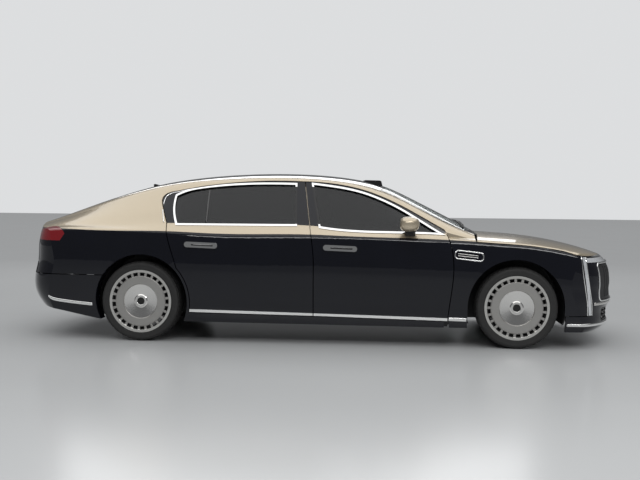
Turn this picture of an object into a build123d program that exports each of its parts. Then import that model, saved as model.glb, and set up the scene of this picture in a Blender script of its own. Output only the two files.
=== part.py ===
from build123d import *
from math import cos, pi, radians, sin
import os

os.makedirs("parts", exist_ok=True)

# A four-door luxury sedan: +X is forward, +Y is its left side, +Z is up, and the
# origin is on the floor below the middle of its length. Everything is in millimetres.

# Overall sizes
LENGTH = 5480
WIDTH = 2000
ROOF_Z = 1545
NOSE_X = LENGTH / 2
TAIL_X = -LENGTH / 2
FRONT_OVERHANG = 955
REAR_OVERHANG = 1155
FRONT_AXLE_X = NOSE_X - FRONT_OVERHANG
REAR_AXLE_X = TAIL_X + REAR_OVERHANG

# Gaps and skins
PANEL_GAP = 8
DOOR_SKIN = 5
DOOR_DEPTH = 110
DOOR_FRAME_DEPTH = 42
DOOR_LAP = 16
SEAL_GAP = 12
PILLAR_DEPTH = 48
RAIL_LAP = 22
PANEL_DEPTH = 30
ROOF_DEPTH = 24
GLASS_DEPTH = 6
PIN_CLEARANCE = 0.06
SEAT_PLAY = 0.3

# Wheels
TYRE_R = 362
TYRE_WIDTH = 255
RIM_R = 284
RIM_BARREL_R = 250
WHEEL_FACE_Y = 968
ARCH_R = 424
ARCH_CENTRE_Z = TYRE_R + 3

# Door hinges
HINGE_BACK = 62
HINGE_Y = 972
HINGE_PIN_R = 6
HINGE_LUG_R = 10
HINGE_LUG = 26
HINGE_ROOM = 22
SAIL_ROOM = 170
SAIL_Z = 985
HINGE_HEIGHTS = (540, 730)

# Body lines: each is a smooth line through (x, value) points, from tail to nose
TOP_LINE = ((-2780, 1012), (-2300, 1200), (-1900, 1341), (-1500, 1448), (-1000, 1517),
            (-450, ROOF_Z), (0, 1533), (350, 1493), (630, 1422), (1000, 1249),
            (1386, 1052), (1620, 925))
BELT_LINE = ((-2780, 975), (-2300, 1034), (-1800, 1045), (-1300, 1070), (-60, 1066),
             (500, 1031), (1000, 1018), (1300, 985), (1450, 958), (1620, 930))
SHOULDER_LINE = ((-2780, 962), (-2300, 1012), (-1400, 1003), (-850, 984), (0, 986),
                 (1000, 962), (1400, 945), (1640, 929), (1900, 911), (2200, 862),
                 (2500, 790), (2780, 700))
HALF_WIDTH_LINE = ((-2780, 890), (-2400, 940), (-2000, 972), (-1585, 990), (-1000, 999),
                   (0, WIDTH / 2), (1000, WIDTH / 2), (1585, 996), (1785, 992),
                   (2100, 975), (2400, 945), (2780, 890))
RAIL_Y_LINE = ((-2780, 640), (-2300, 610), (-1900, 625), (-1500, 662), (-1100, 690),
               (0, 700), (400, 695), (770, 720), (960, 752), (1150, 795), (1300, 835),
               (1620, 870))
RAIL_Z_LINE = ((-2780, 985), (-2300, 1138), (-1900, 1268), (-1500, 1368), (-1184, 1420),
               (-800, 1444), (-420, 1461), (22, 1447), (397, 1390), (770, 1241),
               (1144, 1040), (1300, 985), (1450, 962), (1620, 926))
HOOD_LINE = ((1100, 1015), (1475, 1001), (1800, 983), (2000, 965), (2200, 935),
             (2400, 892), (2600, 830), (2780, 762))

# Nose and tail in side view: (height, how far the middle of the face lies back)
NOSE_PROFILE = ((60, 330), (112, 210), (150, 110), (200, 40), (260, 28), (350, 22),
                (424, 2), (549, 0), (638, 4), (697, 16), (755, 46), (813, 105),
                (860, 175), (960, 360), (1100, 690))
TAIL_PROFILE = ((100, 330), (200, 190), (297, 100), (350, 52), (417, 14), (480, 0),
                (600, 10), (700, 34), (850, 42), (930, 56), (1030, 92), (1150, 160),
                (1350, 360), (1700, 690))
NOSE_HALF = 985
NOSE_POWER = 2.6
TAIL_HALF = 975
TAIL_POWER = 3.6
END_ROOT = 2000


def line_at(line, x):
    """Value at x on a smooth line through the (x, value) points of the line."""
    last = len(line) - 1
    k = 0
    while k < last - 1 and x > line[k + 1][0]:
        k += 1

    def slope(i):
        before, after = max(i - 1, 0), min(i + 1, last)
        return (line[after][1] - line[before][1]) / (line[after][0] - line[before][0])

    (x0, v0), (x1, v1) = line[k], line[k + 1]
    span = x1 - x0
    t = (x - x0) / span
    return (v0 * (1 + 2 * t) * (1 - t) ** 2 + v1 * t * t * (3 - 2 * t)
            + span * (slope(k) * t * (1 - t) ** 2 - slope(k + 1) * t * t * (1 - t)))


# Side of the body in cross-section: (share of the height from sill foot to shoulder,
# share of the half width)
SIDE_FORM = ((0, 0.90), (0.14, 0.952), (0.34, 0.985), (0.59, 1.0), (0.80, 0.993),
             (0.935, 0.975), (1, 0.955))
SILL_FOOT = 95


def side_points(x):
    """Half section of the body side at x, from the sill up to the shoulder."""
    half = line_at(HALF_WIDTH_LINE, x)
    rise = line_at(SHOULDER_LINE, x) - SILL_FOOT
    return [(half * share, SILL_FOOT + rise * height) for height, share in SIDE_FORM]


def cabin_points(x):
    """Half section of the body with its cabin at x, from the sill up to the roof."""
    points = side_points(x)
    half = line_at(HALF_WIDTH_LINE, x)
    belt = (half * 0.893, line_at(BELT_LINE, x))
    rail = (line_at(RAIL_Y_LINE, x), line_at(RAIL_Z_LINE, x))
    top = line_at(TOP_LINE, x)
    bulge = 10
    inner_rail = (rail[0] - 88, rail[1] + 0.50 * (top - rail[1]))
    points.append(belt)
    for share in (0.33, 0.70):
        points.append((belt[0] + share * (rail[0] - belt[0]) + bulge,
                       belt[1] + share * (rail[1] - belt[1])))
    points.append(rail)
    points.append(inner_rail)
    points.append((inner_rail[0] * 0.55, inner_rail[1] + 0.76 * (top - inner_rail[1])))
    points.append((0, top))
    return points


def front_points(x):
    """Half section of the hood and the fenders at x."""
    points = side_points(x)
    edge_y, edge_z = points[-1]
    top = line_at(HOOD_LINE, x)
    for share, rise in ((0.93, 0.34), (0.72, 0.72), (0.40, 0.93)):
        points.append((edge_y * share, edge_z + rise * (top - edge_z)))
    points.append((0, top))
    return points


# Directions in which the points of a half section move in from the skin
SIDE_INWARD = [(-1, 0)] * 5 + [(-0.98, -0.2), (-0.90, -0.43)]
CABIN_INWARD = (SIDE_INWARD + [(-0.85, -0.53)] + [(-0.89, -0.45)] * 3
                + [(-0.45, -0.89), (0, -1), (0, -1)])
FRONT_INWARD = SIDE_INWARD + [(-0.5, -0.87), (-0.2, -0.98), (0, -1), (0, -1)]


def moved_in(points, inward, depths):
    """Points of a half section moved in from the skin by the depths."""
    return [(y + depth * dy, z + depth * dz)
            for (y, z), (dy, dz), depth in zip(points, inward, depths)]


def body_loft(stations, section, depths):
    """Solid inside the body skin, each section moved in by the depths."""
    inward = CABIN_INWARD if section is cabin_points else FRONT_INWARD
    count = len(inward)
    spacing = [k / (count - 1) for k in range(count)]
    with BuildPart() as block:
        for x in stations:
            half = moved_in(section(x), inward, depths)
            with BuildSketch(Plane(origin=(x, 0, 0), x_dir=(0, 1, 0), z_dir=(1, 0, 0))):
                with BuildLine():
                    add(Edge.make_spline([(y, z, 0) for y, z in half], parameters=spacing))
                    add(Edge.make_spline([(-y, z, 0) for y, z in half], parameters=spacing))
                    Line((-half[0][0], half[0][1]), (half[0][0], half[0][1]))
                make_face()
        loft()
    return block.part


CABIN_STATIONS = (-2780, -2540, -2300, -2060, -1820, -1580, -1340, -1100, -820, -500, -150,
                  180, 420, 630, 830, 1020, 1200, 1350, 1500)
DOOR_STATIONS = CABIN_STATIONS[:-3] + (1270,)
FRONT_STATIONS = (1100, 1320, 1540, 1760, 1980, 2200, 2400, 2600, 2780)


def cabin_depths(low, frame, roof):
    """Depth list for a cabin section: doors' height, window frames and roof."""
    return [low] * 5 + [low * 0.75 + frame * 0.25, low * 0.4 + frame * 0.6,
                        frame, frame, frame, frame, (frame + roof) / 2, roof, roof]


def outline_run(run):
    """One run of an outline: straight, an arc through three points, or smooth."""
    if len(run) == 2:
        Line(*run)
    elif len(run) == 3:
        ThreePointArc(*run)
    else:
        Spline(*run)


def moved_out(runs, amount):
    """Closed outline with its points moved square to it, outwards if amount is positive."""
    ring = [point for run in runs for point in run[:-1]]
    area = sum(a[0] * b[1] - b[0] * a[1] for a, b in zip(ring, ring[1:] + ring[:1]))
    turn = amount if area > 0 else -amount
    moved = {}
    for before, here, after in zip(ring[-1:] + ring[:-1], ring, ring[1:] + ring[:1]):
        come = Vector(here[0] - before[0], here[1] - before[1]).normalized()
        leave = Vector(after[0] - here[0], after[1] - here[1]).normalized()
        share = turn / (1 + come.dot(leave))
        moved[here] = (here[0] + share * (come.Y + leave.Y), here[1] - share * (come.X + leave.X))
    return tuple(tuple(moved[point] for point in run) for run in runs)


def side_prism(runs, grow=0):
    """Prism on the car's right side, its outline drawn in (x, z)."""
    with BuildPart() as prism:
        with BuildSketch(Plane.XZ):
            with BuildLine():
                for run in moved_out(runs, grow) if grow else runs:
                    outline_run(run)
            make_face()
        extrude(amount=WIDTH)
    return prism.part


def plan_prism(runs, low=0, high=ROOF_Z + 100):
    """Upright prism, its outline drawn in (x, y)."""
    with BuildPart() as prism:
        with BuildSketch(Plane.XY.offset(low)):
            with BuildLine():
                for run in runs:
                    outline_run(run)
            make_face()
        extrude(amount=high - low)
    return prism.part


def shaped(base, keep=(), cuts=()):
    """A block cut down to what lies inside each keep and outside each cut."""
    with BuildPart() as piece:
        add(base)
        for block in keep:
            add(block, mode=Mode.INTERSECT)
        for block in cuts:
            add(block, mode=Mode.SUBTRACT)
    return piece.part


def joined(*blocks):
    """Blocks made into one piece."""
    with BuildPart() as piece:
        for block in blocks:
            add(block)
    return piece.part


def block(x, y, z):
    """Box between two (low, high) pairs on each axis."""
    with BuildPart() as box:
        with Locations(((x[0] + x[1]) / 2, (y[0] + y[1]) / 2, (z[0] + z[1]) / 2)):
            Box(x[1] - x[0], y[1] - y[0], z[1] - z[0])
    return box.part


def upright(radius, x, y, z_low, z_high):
    """Upright round pin."""
    with BuildPart() as pin:
        with BuildSketch(Plane.XY.offset(z_low)):
            with Locations((x, y)):
                Circle(radius)
        extrude(amount=z_high - z_low)
    return pin.part


def across(radius, x, z, y_low, y_high):
    """Round bar that lies across the car."""
    with BuildPart() as bar:
        with BuildSketch(Plane.XZ.offset(-y_low)):
            with Locations((x, z)):
                Circle(radius)
        extrude(amount=-(y_high - y_low))
    return bar.part


# Ends of the body: plan outlines stacked up the nose and the tail
def end_block(profile, half, power, reach, sign, inset=0):
    """Solid inside the nose (sign 1) or the tail (sign -1), moved in by inset."""
    steps = 9
    spacing = [k / (steps - 1) for k in range(steps)]
    with BuildPart() as end:
        for z, back in profile:
            depth = reach - END_ROOT - back - inset
            side = half - inset
            with BuildSketch(Plane.XY.offset(z)):
                with BuildLine():
                    points = []
                    for k in range(steps - 1):
                        turn = pi / 2 * k / (steps - 1)
                        points.append((sign * (END_ROOT + depth * sin(turn) ** (2 / power)),
                                       side * cos(turn) ** (2 / power)))
                    points.append((sign * (END_ROOT + depth), 0))
                    add(Edge.make_spline([(x, y, 0) for x, y in points],
                                         tangents=[(sign, 0, 0), (0, -1, 0)],
                                         parameters=spacing))
                    add(Edge.make_spline([(x, -y, 0) for x, y in points],
                                         tangents=[(sign, 0, 0), (0, 1, 0)],
                                         parameters=spacing))
                    Polyline((points[0][0], side), (points[0][0], WIDTH),
                             (-sign * LENGTH, WIDTH), (-sign * LENGTH, -WIDTH),
                             (points[0][0], -WIDTH), (points[0][0], -side))
                make_face()
        loft()
    return end.part


def finish(piece, name):
    """Label a piece and write its STEP file."""
    with BuildPart() as clean:
        add(piece.part.solids())
    clean.part.label = name
    export_step(clean.part, "parts/" + name + ".step")


def finish_pair(piece, name):
    """Write a right-hand piece and its mirror image on the left."""
    finish(piece, name + "_right")
    with BuildPart() as twin:
        mirror(piece.part, about=Plane.XZ)
    finish(twin, name + "_left")


# Shells of the body
CABIN_SHELLS = {}
for shell_name, depths in (("skin", (0, 0, 0)),
                           ("trim", (-5, -5, -5)),
                           ("handle", (-14, -5, -5)),
                           ("door skin", (DOOR_SKIN, DOOR_SKIN, DOOR_SKIN)),
                           ("glass out", (14, 14, 5)),
                           ("glass in", (20, 20, 5 + GLASS_DEPTH)),
                           ("door", (DOOR_DEPTH, DOOR_FRAME_DEPTH, ROOF_DEPTH)),
                           ("gap", (DOOR_DEPTH + SEAL_GAP, DOOR_FRAME_DEPTH + SEAL_GAP,
                                    ROOF_DEPTH + SEAL_GAP)),
                           ("rail", (DOOR_DEPTH + RAIL_LAP, DOOR_FRAME_DEPTH + RAIL_LAP,
                                     ROOF_DEPTH + RAIL_LAP)),
                           ("ring", (DOOR_DEPTH + SEAL_GAP + PILLAR_DEPTH,
                                     DOOR_FRAME_DEPTH + SEAL_GAP + PILLAR_DEPTH,
                                     ROOF_DEPTH + SEAL_GAP + PILLAR_DEPTH * 0.7))):
    inner_only = shell_name in ("door", "gap", "ring", "door skin", "trim", "handle")
    stations = DOOR_STATIONS if inner_only else CABIN_STATIONS
    CABIN_SHELLS[shell_name] = body_loft(stations, cabin_points, cabin_depths(*depths))
FRONT_SKIN = body_loft(FRONT_STATIONS, front_points, [0] * 11)
FRONT_THIN = body_loft(FRONT_STATIONS, front_points, [DOOR_SKIN] * 11)
FRONT_DEEP = body_loft(FRONT_STATIONS, front_points, [PANEL_DEPTH] * 11)
NOSE = end_block(NOSE_PROFILE, NOSE_HALF, NOSE_POWER, NOSE_X, 1)
NOSE_DEEP = end_block(NOSE_PROFILE, NOSE_HALF, NOSE_POWER, NOSE_X, 1, PANEL_DEPTH)
TAIL = end_block(TAIL_PROFILE, TAIL_HALF, TAIL_POWER, -TAIL_X, -1)
TAIL_DEEP = end_block(TAIL_PROFILE, TAIL_HALF, TAIL_POWER, -TAIL_X, -1, PANEL_DEPTH)


# Outlines on the side of the car, in (x, z)
DOOR_TOP = ((-1292, 1362), (-992, 1416), (-700, 1447), (-422, 1461), (-112, 1456),
            (209, 1430), (397, 1390), (770, 1241), (957, 1140), (1144, 1036))
FRONT_DOOR = (((-7, 262), (-7, 690)),
              ((-7, 690), (-14, 830), (-28, 934), (-47, 1040)),
              ((-47, 1040), (-112, 1456)),
              DOOR_TOP[4:],
              ((1144, 1036), (1192, 924), (1222, 745), (1212, 540), (1178, 238)),
              ((1178, 238), (-7, 262)))
REAR_ARCH_X = REAR_AXLE_X + 8
FRONT_ARCH_X = FRONT_AXLE_X - 8
DOOR_ARCH_R = ARCH_R + 28
ARCH_FOOT_Z = 275


def arch_x(radius, z):
    """Half width of an arch of this radius at the height z."""
    return (radius ** 2 - (z - ARCH_CENTRE_Z) ** 2) ** 0.5


DOOR_HEEL = (REAR_ARCH_X + arch_x(DOOR_ARCH_R, ARCH_FOOT_Z), ARCH_FOOT_Z)
DOOR_KNEE = (REAR_ARCH_X + arch_x(DOOR_ARCH_R, 672), 672)
DOOR_SHIN = (REAR_ARCH_X + arch_x(DOOR_ARCH_R, 470), 470)
REAR_DOOR = (((60, 261), DOOR_HEEL),
             (DOOR_HEEL, DOOR_SHIN, DOOR_KNEE),
             (DOOR_KNEE, (-1291, 814), (-1322, 907), (-1358, 1072)),
             ((-1358, 1072), (-1425, 1245)),
             ((-1425, 1245), (-1415, 1322), (-1360, 1350), (-1292, 1362)),
             DOOR_TOP[:5] + ((60, 1447),),
             ((60, 1447), (60, 261)))
FRONT_GLASS = (((-36, 1434), (42, 1060)),
               ((42, 1060), (250, 1036), (560, 1024), (1092, 1014)),
               ((1092, 1014), (911, 1121), (771, 1204), (584, 1295), (397, 1362),
                (210, 1402), (-36, 1434)))
REAR_GLASS = (((-204, 1432), (-187, 1076)),
              ((-187, 1076), (-1262, 1072)),
              ((-1262, 1072), (-1303, 1250), (-1298, 1320)),
              ((-1298, 1320), (-1182, 1368), (-1029, 1396), (-800, 1420), (-420, 1434),
               (-204, 1432)))
front_door_zone = side_prism(FRONT_DOOR)
rear_door_zone = shaped(side_prism(REAR_DOOR), (), [side_prism(FRONT_DOOR, PANEL_GAP)])
front_window = side_prism(FRONT_GLASS)
rear_window_side = side_prism(REAR_GLASS)

rear_arch = across(ARCH_R, REAR_ARCH_X, ARCH_CENTRE_Z, -2 * WIDTH, 2 * WIDTH)
front_arch = across(ARCH_R, FRONT_ARCH_X, ARCH_CENTRE_Z, -2 * WIDTH, 2 * WIDTH)


RIGHT_SIDE = block((-LENGTH, LENGTH), (-WIDTH, 0), (0, 2 * ROOF_Z))


# Doors: a thin skin, and behind it the slab with its pillar side set back
def door(zone, slab_cut, window, axle_x):
    """Right-hand door with its hinge lugs."""
    slab_zone = shaped(side_prism(slab_cut, -DOOR_LAP), (),
                       [block((axle_x - HINGE_ROOM, axle_x + 200), (-WIDTH, 0), (0, 1010)),
                        block((axle_x - SAIL_ROOM, axle_x + 200), (-WIDTH, 0),
                              (SAIL_Z, SAIL_Z + SAIL_ROOM))])
    groove = shaped(CABIN_SHELLS["door skin"], [RIGHT_SIDE], [slab_zone])
    panel = shaped(CABIN_SHELLS["skin"], [zone], [CABIN_SHELLS["door"], window, groove])
    lugs = [shaped(joined(upright(HINGE_LUG_R, axle_x, -HINGE_Y, z, z + HINGE_LUG),
                          block((axle_x - HINGE_ROOM - 6, axle_x),
                                (-HINGE_Y - HINGE_LUG_R, -HINGE_Y + HINGE_LUG_R),
                                (z, z + HINGE_LUG))),
                   (), [upright(HINGE_PIN_R + PIN_CLEARANCE, axle_x, -HINGE_Y, z - 9,
                                z + HINGE_LUG + 9)])
            for z in HINGE_HEIGHTS]
    return joined(panel, *lugs)


FRONT_HINGE_X = 1222 - HINGE_BACK
REAR_HINGE_X = -7 - PANEL_GAP - HINGE_BACK
REAR_SLAB = (((-7 - PANEL_GAP, 261), DOOR_HEEL),
             (DOOR_HEEL, DOOR_SHIN, DOOR_KNEE),
             (DOOR_KNEE, (-1291, 814), (-1322, 907), (-1358, 1072)),
             ((-1358, 1072), (-1425, 1245)),
             ((-1425, 1245), (-1415, 1322), (-1360, 1350), (-1292, 1362)),
             DOOR_TOP[:5],
             ((-112, 1456), (-130, 1350)),
             ((-130, 1350), (-60, 1000)),
             ((-60, 1000), (-7 - PANEL_GAP, 261)))
with BuildPart() as door_front_right:
    add(door(front_door_zone, FRONT_DOOR, front_window, FRONT_HINGE_X))
with BuildPart() as door_rear_right:
    add(door(rear_door_zone, REAR_SLAB, rear_window_side, REAR_HINGE_X))
finish_pair(door_front_right, "door_front")
finish_pair(door_rear_right, "door_rear")


# Door glass, bright trim and mirrors
def glass_pane(window):
    """Side window that fills its opening from edge to edge."""
    return shaped(CABIN_SHELLS["glass out"], [window], [CABIN_SHELLS["glass in"]])


def strip(low_line, high_line):
    """Side prism between two lines that run along the car."""
    return side_prism((low_line, (low_line[-1], high_line[-1]),
                       tuple(reversed(high_line)), (high_line[0], low_line[0])))


SURROUND = 17
STRIP_TOP = ((-1300, 303), (-400, 290), (500, 276), (1420, 258))
STRIP_LOW = tuple((x, z - 33) for x, z in STRIP_TOP)
HANDLE_LENGTH = 302
HANDLE_HEIGHT = 50
HANDLE_SLOPE = -2


def handle_zone(x, z):
    """Prism of a door handle with round ends."""
    with BuildPart() as zone:
        with BuildSketch(Plane.XZ):
            with Locations((x, z)):
                SlotOverall(HANDLE_LENGTH, HANDLE_HEIGHT, rotation=HANDLE_SLOPE)
        extrude(amount=WIDTH)
    return zone.part


def door_trim(runs, zone, window, handle_at):
    """Window surround, handle and sill strip of a right-hand door."""
    bright = shaped(CABIN_SHELLS["trim"], [side_prism(runs, SURROUND), zone],
                    [CABIN_SHELLS["skin"], window])
    low = shaped(CABIN_SHELLS["trim"], [strip(STRIP_LOW, STRIP_TOP), zone],
                 [CABIN_SHELLS["skin"]])
    handle = shaped(CABIN_SHELLS["handle"], [handle_zone(*handle_at)],
                    [CABIN_SHELLS["skin"]])
    return joined(bright, low, handle)


with BuildPart() as glass_front_right:
    add(glass_pane(front_window))
with BuildPart() as glass_rear_right:
    add(glass_pane(rear_window_side))
with BuildPart() as trim_front_right:
    add(door_trim(FRONT_GLASS, front_door_zone, front_window, (225, 869)))
with BuildPart() as trim_rear_right:
    add(door_trim(REAR_GLASS, rear_door_zone, rear_window_side, (-1027, 881)))
finish_pair(glass_front_right, "glass_front")
finish_pair(glass_rear_right, "glass_rear")
finish_pair(trim_front_right, "trim_front")
finish_pair(trim_rear_right, "trim_rear")

MIRROR_Y = 1010
with BuildPart() as mirror_right:
    with BuildSketch(Plane.YZ.offset(745)):
        with Locations((-MIRROR_Y, 1092)):
            RectangleRounded(225, 128, 50)
    with BuildSketch(Plane.YZ.offset(800)):
        with Locations((-MIRROR_Y, 1093)):
            RectangleRounded(238, 136, 55)
    with BuildSketch(Plane.YZ.offset(885)):
        with Locations((-MIRROR_Y + 8, 1088)):
            RectangleRounded(205, 112, 50)
    with BuildSketch(Plane.YZ.offset(925)):
        with Locations((-MIRROR_Y + 18, 1078)):
            RectangleRounded(120, 62, 28)
    loft()
    with BuildSketch(Plane.XY.offset(1036)):
        with Locations((835, -930)):
            SlotOverall(110, 44)
    with BuildSketch(Plane.XY.offset(985)):
        with Locations((842, -938)):
            SlotOverall(90, 40)
    loft()
    add(CABIN_SHELLS["trim"], mode=Mode.SUBTRACT)
finish_pair(mirror_right, "mirror")

# Body sides: rail, pillars, sill and rear quarter in one pressing
COWL_Y = 856
HOOD_REAR = (1425, 1478)
RAIL_EDGE = 92


def roof_opening():
    """Upright prism over everything between the two roof rails."""
    edge = [(x, line_at(RAIL_Y_LINE, x) - RAIL_EDGE)
            for x in (-2140, -1800, -1400, -1000, -500, 0, 400, 800, 1150, 1700)]
    return plan_prism((edge, (edge[-1], (edge[-1][0], -edge[-1][1])),
                       [(x, -y) for x, y in reversed(edge)],
                       ((edge[0][0], -edge[0][1]), edge[0])), 900)


LID_FRONT_X = -2140
LID_HALF = 640
LID_SILL_Z = 700
BUMPER_Z = 600
lid_zone = block((TAIL_X - 100, LID_FRONT_X), (-LID_HALF, LID_HALF), (LID_SILL_Z, 1600))
roof_zone = roof_opening()
TAIL_LAMP = (((-2303, 966), (-2345, 1012), (-2480, 1022), (-2800, 1024)),
             ((-2800, 1024), (-2800, 906)), ((-2800, 906), (-2345, 902)),
             ((-2345, 902), (-2303, 966)))
tail_lamp_zone = side_prism(TAIL_LAMP)
BODY_SIDE = (((1186, 176), (-1575, 186)), ((-1575, 186), (-1575, BUMPER_Z)),
             ((-1575, BUMPER_Z), (TAIL_X - 50, BUMPER_Z)),
             ((TAIL_X - 50, BUMPER_Z), (TAIL_X - 50, 1700)),
             ((TAIL_X - 50, 1700), (1500, 1700)), ((1500, 1700), (1500, 930)),
             ((1500, 930), (1186, 930)), ((1186, 930), (1186, 176)))
FRONT_OPENING = (((60, 330), (60, 1000)), ((60, 1000), (-12, 1385)),
                 ((-12, 1385), (209, 1356), (397, 1318), (584, 1250), (770, 1160), (880, 1095)),
                 ((880, 1095), (1045, 985)), ((1045, 985), (1060, 330)), ((1060, 330), (60, 330)))
REAR_OPENING = (((-190, 330), (-1030, 330)), ((-1030, 330), (-1080, 640)),
                ((-1080, 640), (-1235, 960)), ((-1235, 960), (-1255, 1240)),
                ((-1255, 1240), (-1100, 1322), (-802, 1366), (-422, 1388), (-232, 1388)),
                ((-232, 1388), (-190, 1000)), ((-190, 1000), (-190, 330)))
door_holes = [side_prism(FRONT_DOOR, PANEL_GAP), side_prism(REAR_DOOR, PANEL_GAP)]
foot_cut = block((1150, 1700), (-WIDTH, -COWL_Y), (0, 2000))
RING_WIDTH = 45
door_ring = shaped(CABIN_SHELLS["gap"],
                   [RIGHT_SIDE, joined(side_prism(FRONT_DOOR, RING_WIDTH),
                                       side_prism(REAR_DOOR, RING_WIDTH))],
                   [CABIN_SHELLS["ring"], side_prism(FRONT_OPENING), side_prism(REAR_OPENING),
                    rear_arch, roof_zone])


def hinge_brackets(axle_x):
    """Pillar side of a right-hand door's hinges: an arm with an upright pin."""
    arms = []
    for z in HINGE_HEIGHTS:
        seat = z + HINGE_LUG + 1
        arms.append(upright(HINGE_LUG_R, axle_x, -HINGE_Y, seat, seat + HINGE_LUG))
        arms.append(block((axle_x - 9, axle_x + 9), (-HINGE_Y, -HINGE_Y + DOOR_DEPTH + 24),
                          (seat, seat + HINGE_LUG)))
        arms.append(upright(HINGE_PIN_R, axle_x, -HINGE_Y, z - 5, seat + HINGE_LUG))
    return arms


with BuildPart() as body_side_right:
    add(CABIN_SHELLS["skin"])
    for keep in (RIGHT_SIDE, side_prism(BODY_SIDE), TAIL):
        add(keep, mode=Mode.INTERSECT)
    for cut in [CABIN_SHELLS["rail"], roof_zone, lid_zone, tail_lamp_zone, rear_arch,
                foot_cut, block((HOOD_REAR[0] - PANEL_GAP, 1700), (-WIDTH, 0), (0, 2000))
                ] + door_holes:
        add(cut, mode=Mode.SUBTRACT)
    add(door_ring)
    for arm in hinge_brackets(FRONT_HINGE_X) + hinge_brackets(REAR_HINGE_X):
        add(arm)
finish_pair(body_side_right, "body_side")

# Roof panel, windshield and rear window
GLASS_SHELL = shaped(CABIN_SHELLS["skin"], [roof_zone], [CABIN_SHELLS["glass in"]])
PANE_GAP = 5


def across_arc(side_x, middle_x):
    """Arc across the car in plan, through its middle; a line if it doesn't bend."""
    if side_x == middle_x:
        return ((side_x, -WIDTH / 2), (side_x, WIDTH / 2))
    return ((side_x, -WIDTH / 2), (middle_x, 0), (side_x, WIDTH / 2))


def between_arcs(rear, front):
    """Upright prism between two arcs across the car."""
    return plan_prism((rear, (rear[-1], front[-1]), tuple(reversed(front)),
                       (front[0], rear[0])))


ROOF_REAR = (-1600, -1725)
ROOF_FRONT = (500, 612)
SCREEN_FOOT = (1235, 1430)


def shifted(arc, step):
    """The two x values of an arc moved along the car."""
    return across_arc(arc[0] + step, arc[1] + step)


with BuildPart() as roof:
    add(shaped(CABIN_SHELLS["skin"],
               [roof_zone, between_arcs(shifted(ROOF_REAR, 0), shifted(ROOF_FRONT, 0))],
               [CABIN_SHELLS["rail"]]))
with BuildPart() as windshield:
    add(shaped(GLASS_SHELL, [between_arcs(shifted(ROOF_FRONT, PANE_GAP),
                                          shifted(SCREEN_FOOT, 0))]))
LID_SWING = 16
REAR_GLASS_FOOT = LID_FRONT_X + LID_SWING
with BuildPart() as rear_window:
    add(shaped(GLASS_SHELL, [between_arcs(across_arc(REAR_GLASS_FOOT, REAR_GLASS_FOOT),
                                          shifted(ROOF_REAR, -PANE_GAP))]))
finish(roof, "roof")
finish(windshield, "windshield")
finish(rear_window, "rear_window")

# Hood, fenders and cowl
HOOD_CUT = ((1400, 946), (1640, 930), (1900, 912), (2080, 888), (2200, 866), (2316, 834),
            (2450, 824), (2800, 820))
HOOD_AXIS = (1338, 930)
HOOD_FLANGE = 40
HOOD_ARM_Y = 700
HOOD_ARM_WIDTH = 12
HOOD_SWING = 20
ARM_ROOM = 6
ARM_SLOT_REAR = 27
LEVER_PIN_R = 6
LEVER_LUG_R = 13
LEVER_GAP = 6
CORNER_LINE = ((2345, 820), (2370, 640), (2400, 440), (2414, 300))
LIP_Z = 300
LIP_LOW = 150
front_body = shaped(FRONT_SKIN, [NOSE])
front_core = shaped(FRONT_DEEP, [NOSE_DEEP])
thin_core = shaped(FRONT_THIN, [block((1000, 1300), (-WIDTH, WIDTH), (0, 2000))])


def lever(points, axis, y):
    """Flat lever along the car with a bored lug at its axis, on the right-hand side."""
    with BuildPart() as arm:
        with BuildSketch(Plane.XZ.offset(y)):
            with BuildLine():
                Polyline(*points, close=True)
            make_face()
            with Locations(axis):
                Circle(LEVER_LUG_R)
                Circle(LEVER_PIN_R + PIN_CLEARANCE, mode=Mode.SUBTRACT)
        extrude(amount=-HOOD_ARM_WIDTH)
    return arm.part


hood_arm = lever(((1342, 920), (1600, 928), (1600, 962), (1520, 962), (1515, 944), (1342, 938)),
                 HOOD_AXIS, HOOD_ARM_Y)
hood_plan = plan_prism((across_arc(*HOOD_REAR), ((HOOD_REAR[0], WIDTH / 2), (2900, WIDTH / 2)),
                        ((2900, WIDTH / 2), (2900, -WIDTH / 2)),
                        ((2900, -WIDTH / 2), (HOOD_REAR[0], -WIDTH / 2))), 500)
over_cut = side_prism((HOOD_CUT, (HOOD_CUT[-1], (2800, 1200)), ((2800, 1200), (1400, 1200)),
                       ((1400, 1200), HOOD_CUT[0])))
over_cut = joined(over_cut, mirror(over_cut, about=Plane.XZ))
hood_rear_edge = shaped(FRONT_THIN, [between_arcs(across_arc(1400, 1400),
                                                  shifted(HOOD_REAR, HOOD_FLANGE))])
with BuildPart() as hood:
    add(shaped(front_body, [hood_plan, over_cut], [front_core, hood_rear_edge]))
    add(hood_arm)
    mirror(hood_arm, about=Plane.XZ)
FENDER = (((1194, 176), (1800, 176)), ((1800, 176), (1800, LIP_Z)),
          ((1800, LIP_Z), CORNER_LINE[-1]), tuple(reversed(CORNER_LINE)),
          (CORNER_LINE[0], (2316, 826), (2200, 858), (2080, 880), (1900, 904), (1640, 922),
           (1417, 937)),
          ((1417, 937), (1417, 1100)), ((1417, 1100), (1100, 1100)), ((1100, 1100), (1100, 300)),
          ((1100, 300), (1194, 240)), ((1194, 240), (1194, 176)))
arch_front_cut = block((FRONT_ARCH_X - ARCH_R, FRONT_ARCH_X + ARCH_R), (-WIDTH, WIDTH),
                       (0, ARCH_CENTRE_Z))
cowl_inner = block((1000, 1417), (-COWL_Y - SEAT_PLAY, COWL_Y + SEAT_PLAY), (0, 2000))
with BuildPart() as fender_right:
    add(shaped(front_body, [RIGHT_SIDE, side_prism(FENDER)],
               [front_core, thin_core, side_prism(FRONT_DOOR, PANEL_GAP), front_arch,
                arch_front_cut, cowl_inner]))
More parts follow.
